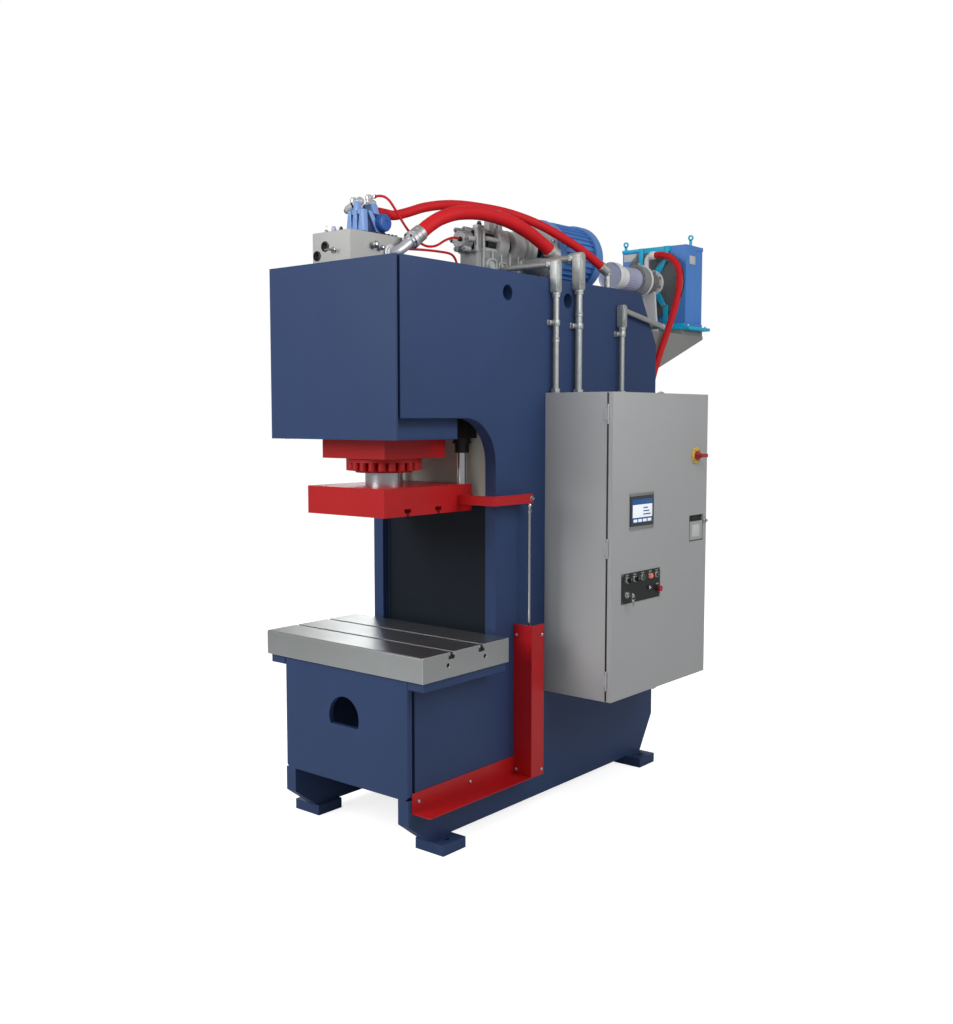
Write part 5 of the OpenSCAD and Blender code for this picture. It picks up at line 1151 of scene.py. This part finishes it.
# %% Latch, lock and door clamps
CABINET_LOW = 577
bm = bmesh.new()
box(bm, (792.4, 718, 1407), (794, 862, 1438), 0.4)
piece("latch_pocket", bm, [plastic["black"]], "door")
bm = bmesh.new()
plate(bm, rounded((746, 1322), (826, 1388), 4), "x", DOOR_FACE, DOOR_FACE + 1.2, 0.4)
piece("latch_plate", bm, [plastic["pale"]], "latch")
bm = bmesh.new()
turned(bm, (DOOR_FACE, 882, 1404), "x", [(0, 15), (4, 15), (6, 12), (6, 9), (14, 8), (16, 6), (16, 0)], 28)
for y, z, lift in ((421, CABINET_TOP, 1), (382, CABINET_LOW, -1)):
    box(bm, (786, y - 18, min(z, z + 5 * lift)), (802, y + 18, max(z, z + 5 * lift)), 1.5)
    turned(bm, (794, y, z + 5 * lift), "z" if lift > 0 else "-z", [(0, 6), (3, 6), (4, 4), (4, 0)], 18)
piece("door_lock_and_clamps", bm, [metal["screw"]], "door")
# Black strips round the door's edge: partly a seal, partly painted shadow of the gap between door and cabinet;
# the wider strip on the front edge is painted shadow.
bm = bmesh.new()
for z in (CABINET_LOW + 1, CABINET_TOP - 4):
    box(bm, (776.5, -31, z), (779.5, 895, z + 3), 0)
for y in (-34.5, 892):
    box(bm, (776.5, y, CABINET_LOW + 4), (779.5, y + 3, CABINET_TOP - 4), 0)
box(bm, (770.5, -36.2, CABINET_LOW + 4), (779.5, -34.6, CABINET_TOP - 4), 0.4)
piece("door_gasket_and_shadow_strip", bm, [plastic["black"]])

# %% [markdown]
# ## Inside the cabinet
# With the door open the mounting panel shows: breakers, contactors, a drive and terminal strips. They are
# drawn as typical devices, because the closed door hides the real ones. A loop over a short list keeps
# the cell small.

# %% Mounting panel
PANEL_X, PANEL_Y, PANEL_Z, PANEL_W, PANEL_H = 424, 25, 637, 814, 1384
bm = bmesh.new()
plate(bm, rounded((PANEL_Y, PANEL_Z), (PANEL_Y + PANEL_W, PANEL_Z + PANEL_H), 6), "x", 421, PANEL_X, 0.8)
for y in (55, 809):
    for z in (667, 1991):
        turned(bm, (409, y, z), "x", [(0, 6), (12, 6)], 16)
        hex_screw(bm, (PANEL_X, y, z), "x", 10, 1)
piece("mounting_panel", bm, [paint["mounting"], metal["screw"]],
      replaces=["cabinet_panel"])

# %% Devices on the panel
bm = bmesh.new()
devices = [  # place and size as shares of the panel, depth; the last two are terminal strips
           (0.04, 0.70, 0.30, 0.24, 150), (0.40, 0.76, 0.22, 0.18, 110), (0.68, 0.72, 0.26, 0.22, 130),
           (0.04, 0.42, 0.16, 0.16, 90), (0.24, 0.42, 0.16, 0.16, 90), (0.44, 0.42, 0.16, 0.16, 90),
           (0.66, 0.36, 0.28, 0.26, 180), (0.04, 0.10, 0.90, 0.06, 60), (0.04, 0.24, 0.55, 0.08, 70)]
STRIP_TERMINALS = (44, 26)
for i, (a, b, w, h, deep) in enumerate(devices):
    y0, z0 = PANEL_Y + a * PANEL_W, PANEL_Z + b * PANEL_H
    y1, z1 = y0 + w * PANEL_W, z0 + h * PANEL_H
    if i < len(devices) - len(STRIP_TERMINALS):
        box(bm, (PANEL_X, y0, z0), (PANEL_X + deep * 0.72, y1, z1), 3, i % 2)
        box(bm, (PANEL_X + deep * 0.7, y0 + 8, z0 + 26), (PANEL_X + deep, y1 - 8, z1 - 26), 4, i % 2)
        count = max(3, round((y1 - y0) / 34))
        for k in range(count):
            y = y0 + (y1 - y0) * (k + 0.5) / count
            for z in (z0 + 13, z1 - 13):
                pan_screw(bm, (PANEL_X + deep * 0.72, y, z), "x", 12, 2)
    else:
        count = STRIP_TERMINALS[i - len(devices)]
        step = (y1 - y0) / count
        for k in range(count):
            box(bm, (PANEL_X, y0 + step * k + 0.6, z0), (PANEL_X + deep, y0 + step * (k + 1) - 0.6, z1), 1,
                1 if k % 9 else 3)
piece("panel_devices", bm, [plastic["black"], plastic["bezel"], metal["screw"], plastic["yellow"]],
      replaces=["cabinet_panel"])

# %% [markdown]
# ## Welds and shelf screws
# A close look shows weld beads where the plates and foot pads meet, and the screws of the rear shelf. A
# plain round bar would look like a wire, so a weld is a low bar whose radius ripples along the seam.

# %% Weld beads
def weld(bm, start, stop, radius=5, step=7):
    """A rippled bead along a straight seam."""
    start, stop = Vector(start) / 1000, Vector(stop) / 1000
    count = max(2, round((stop - start).length * 1000 / step))
    along = (stop - start).normalized()
    side = along.orthogonal().normalized()
    other = along.cross(side)
    rings = []
    for k in range(2 * count + 1):
        r = radius / 1000 * (1.0 if k % 2 else 0.86)
        middle = start + (stop - start) * k / (2 * count)
        rings.append([bm.verts.new(middle + r * (math.cos(a) * side + math.sin(a) * other))
                      for a in turns(8)])
    for a, b in zip(rings, rings[1:]):
        for j in range(8):
            bm.faces.new((a[j], a[(j + 1) % 8], b[(j + 1) % 8], b[j]))
    bm.faces.new(rings[0][::-1])
    bm.faces.new(rings[-1])


INNER = 342  # from the press's middle to the inside of a side plate
bm = bmesh.new()
for side in (-1, 1):
    for x in (side * HALF, side * INNER):
        for y0, y1 in ((-905, -757), (757, 894)):
            weld(bm, (x, y0, 50), (x, y1, 50))
    weld(bm, (side * HALF, -995, 771), (side * HALF, -480, 771))
    weld(bm, (side * INNER, -384, 815), (side * INNER, -384, 1940), 4)
    weld(bm, (side * INNER, -1076, 1862), (side * INNER, -634, 1862), 4)
piece("weld_beads", bm, [paint["navy"]], crease=60)

# %% Shelf screws
bm = bmesh.new()
for x in (-290, -100, 100, 290):
    hex_screw(bm, (x, 1050, SHELF_TOP), "z", 15)
for x in (-312, 312):
    for z in (2230, 2300, 2370, 2430):
        hex_screw(bm, (x, 1020, z), "y", 12)
piece("shelf_screws", bm, [metal["screw"]])
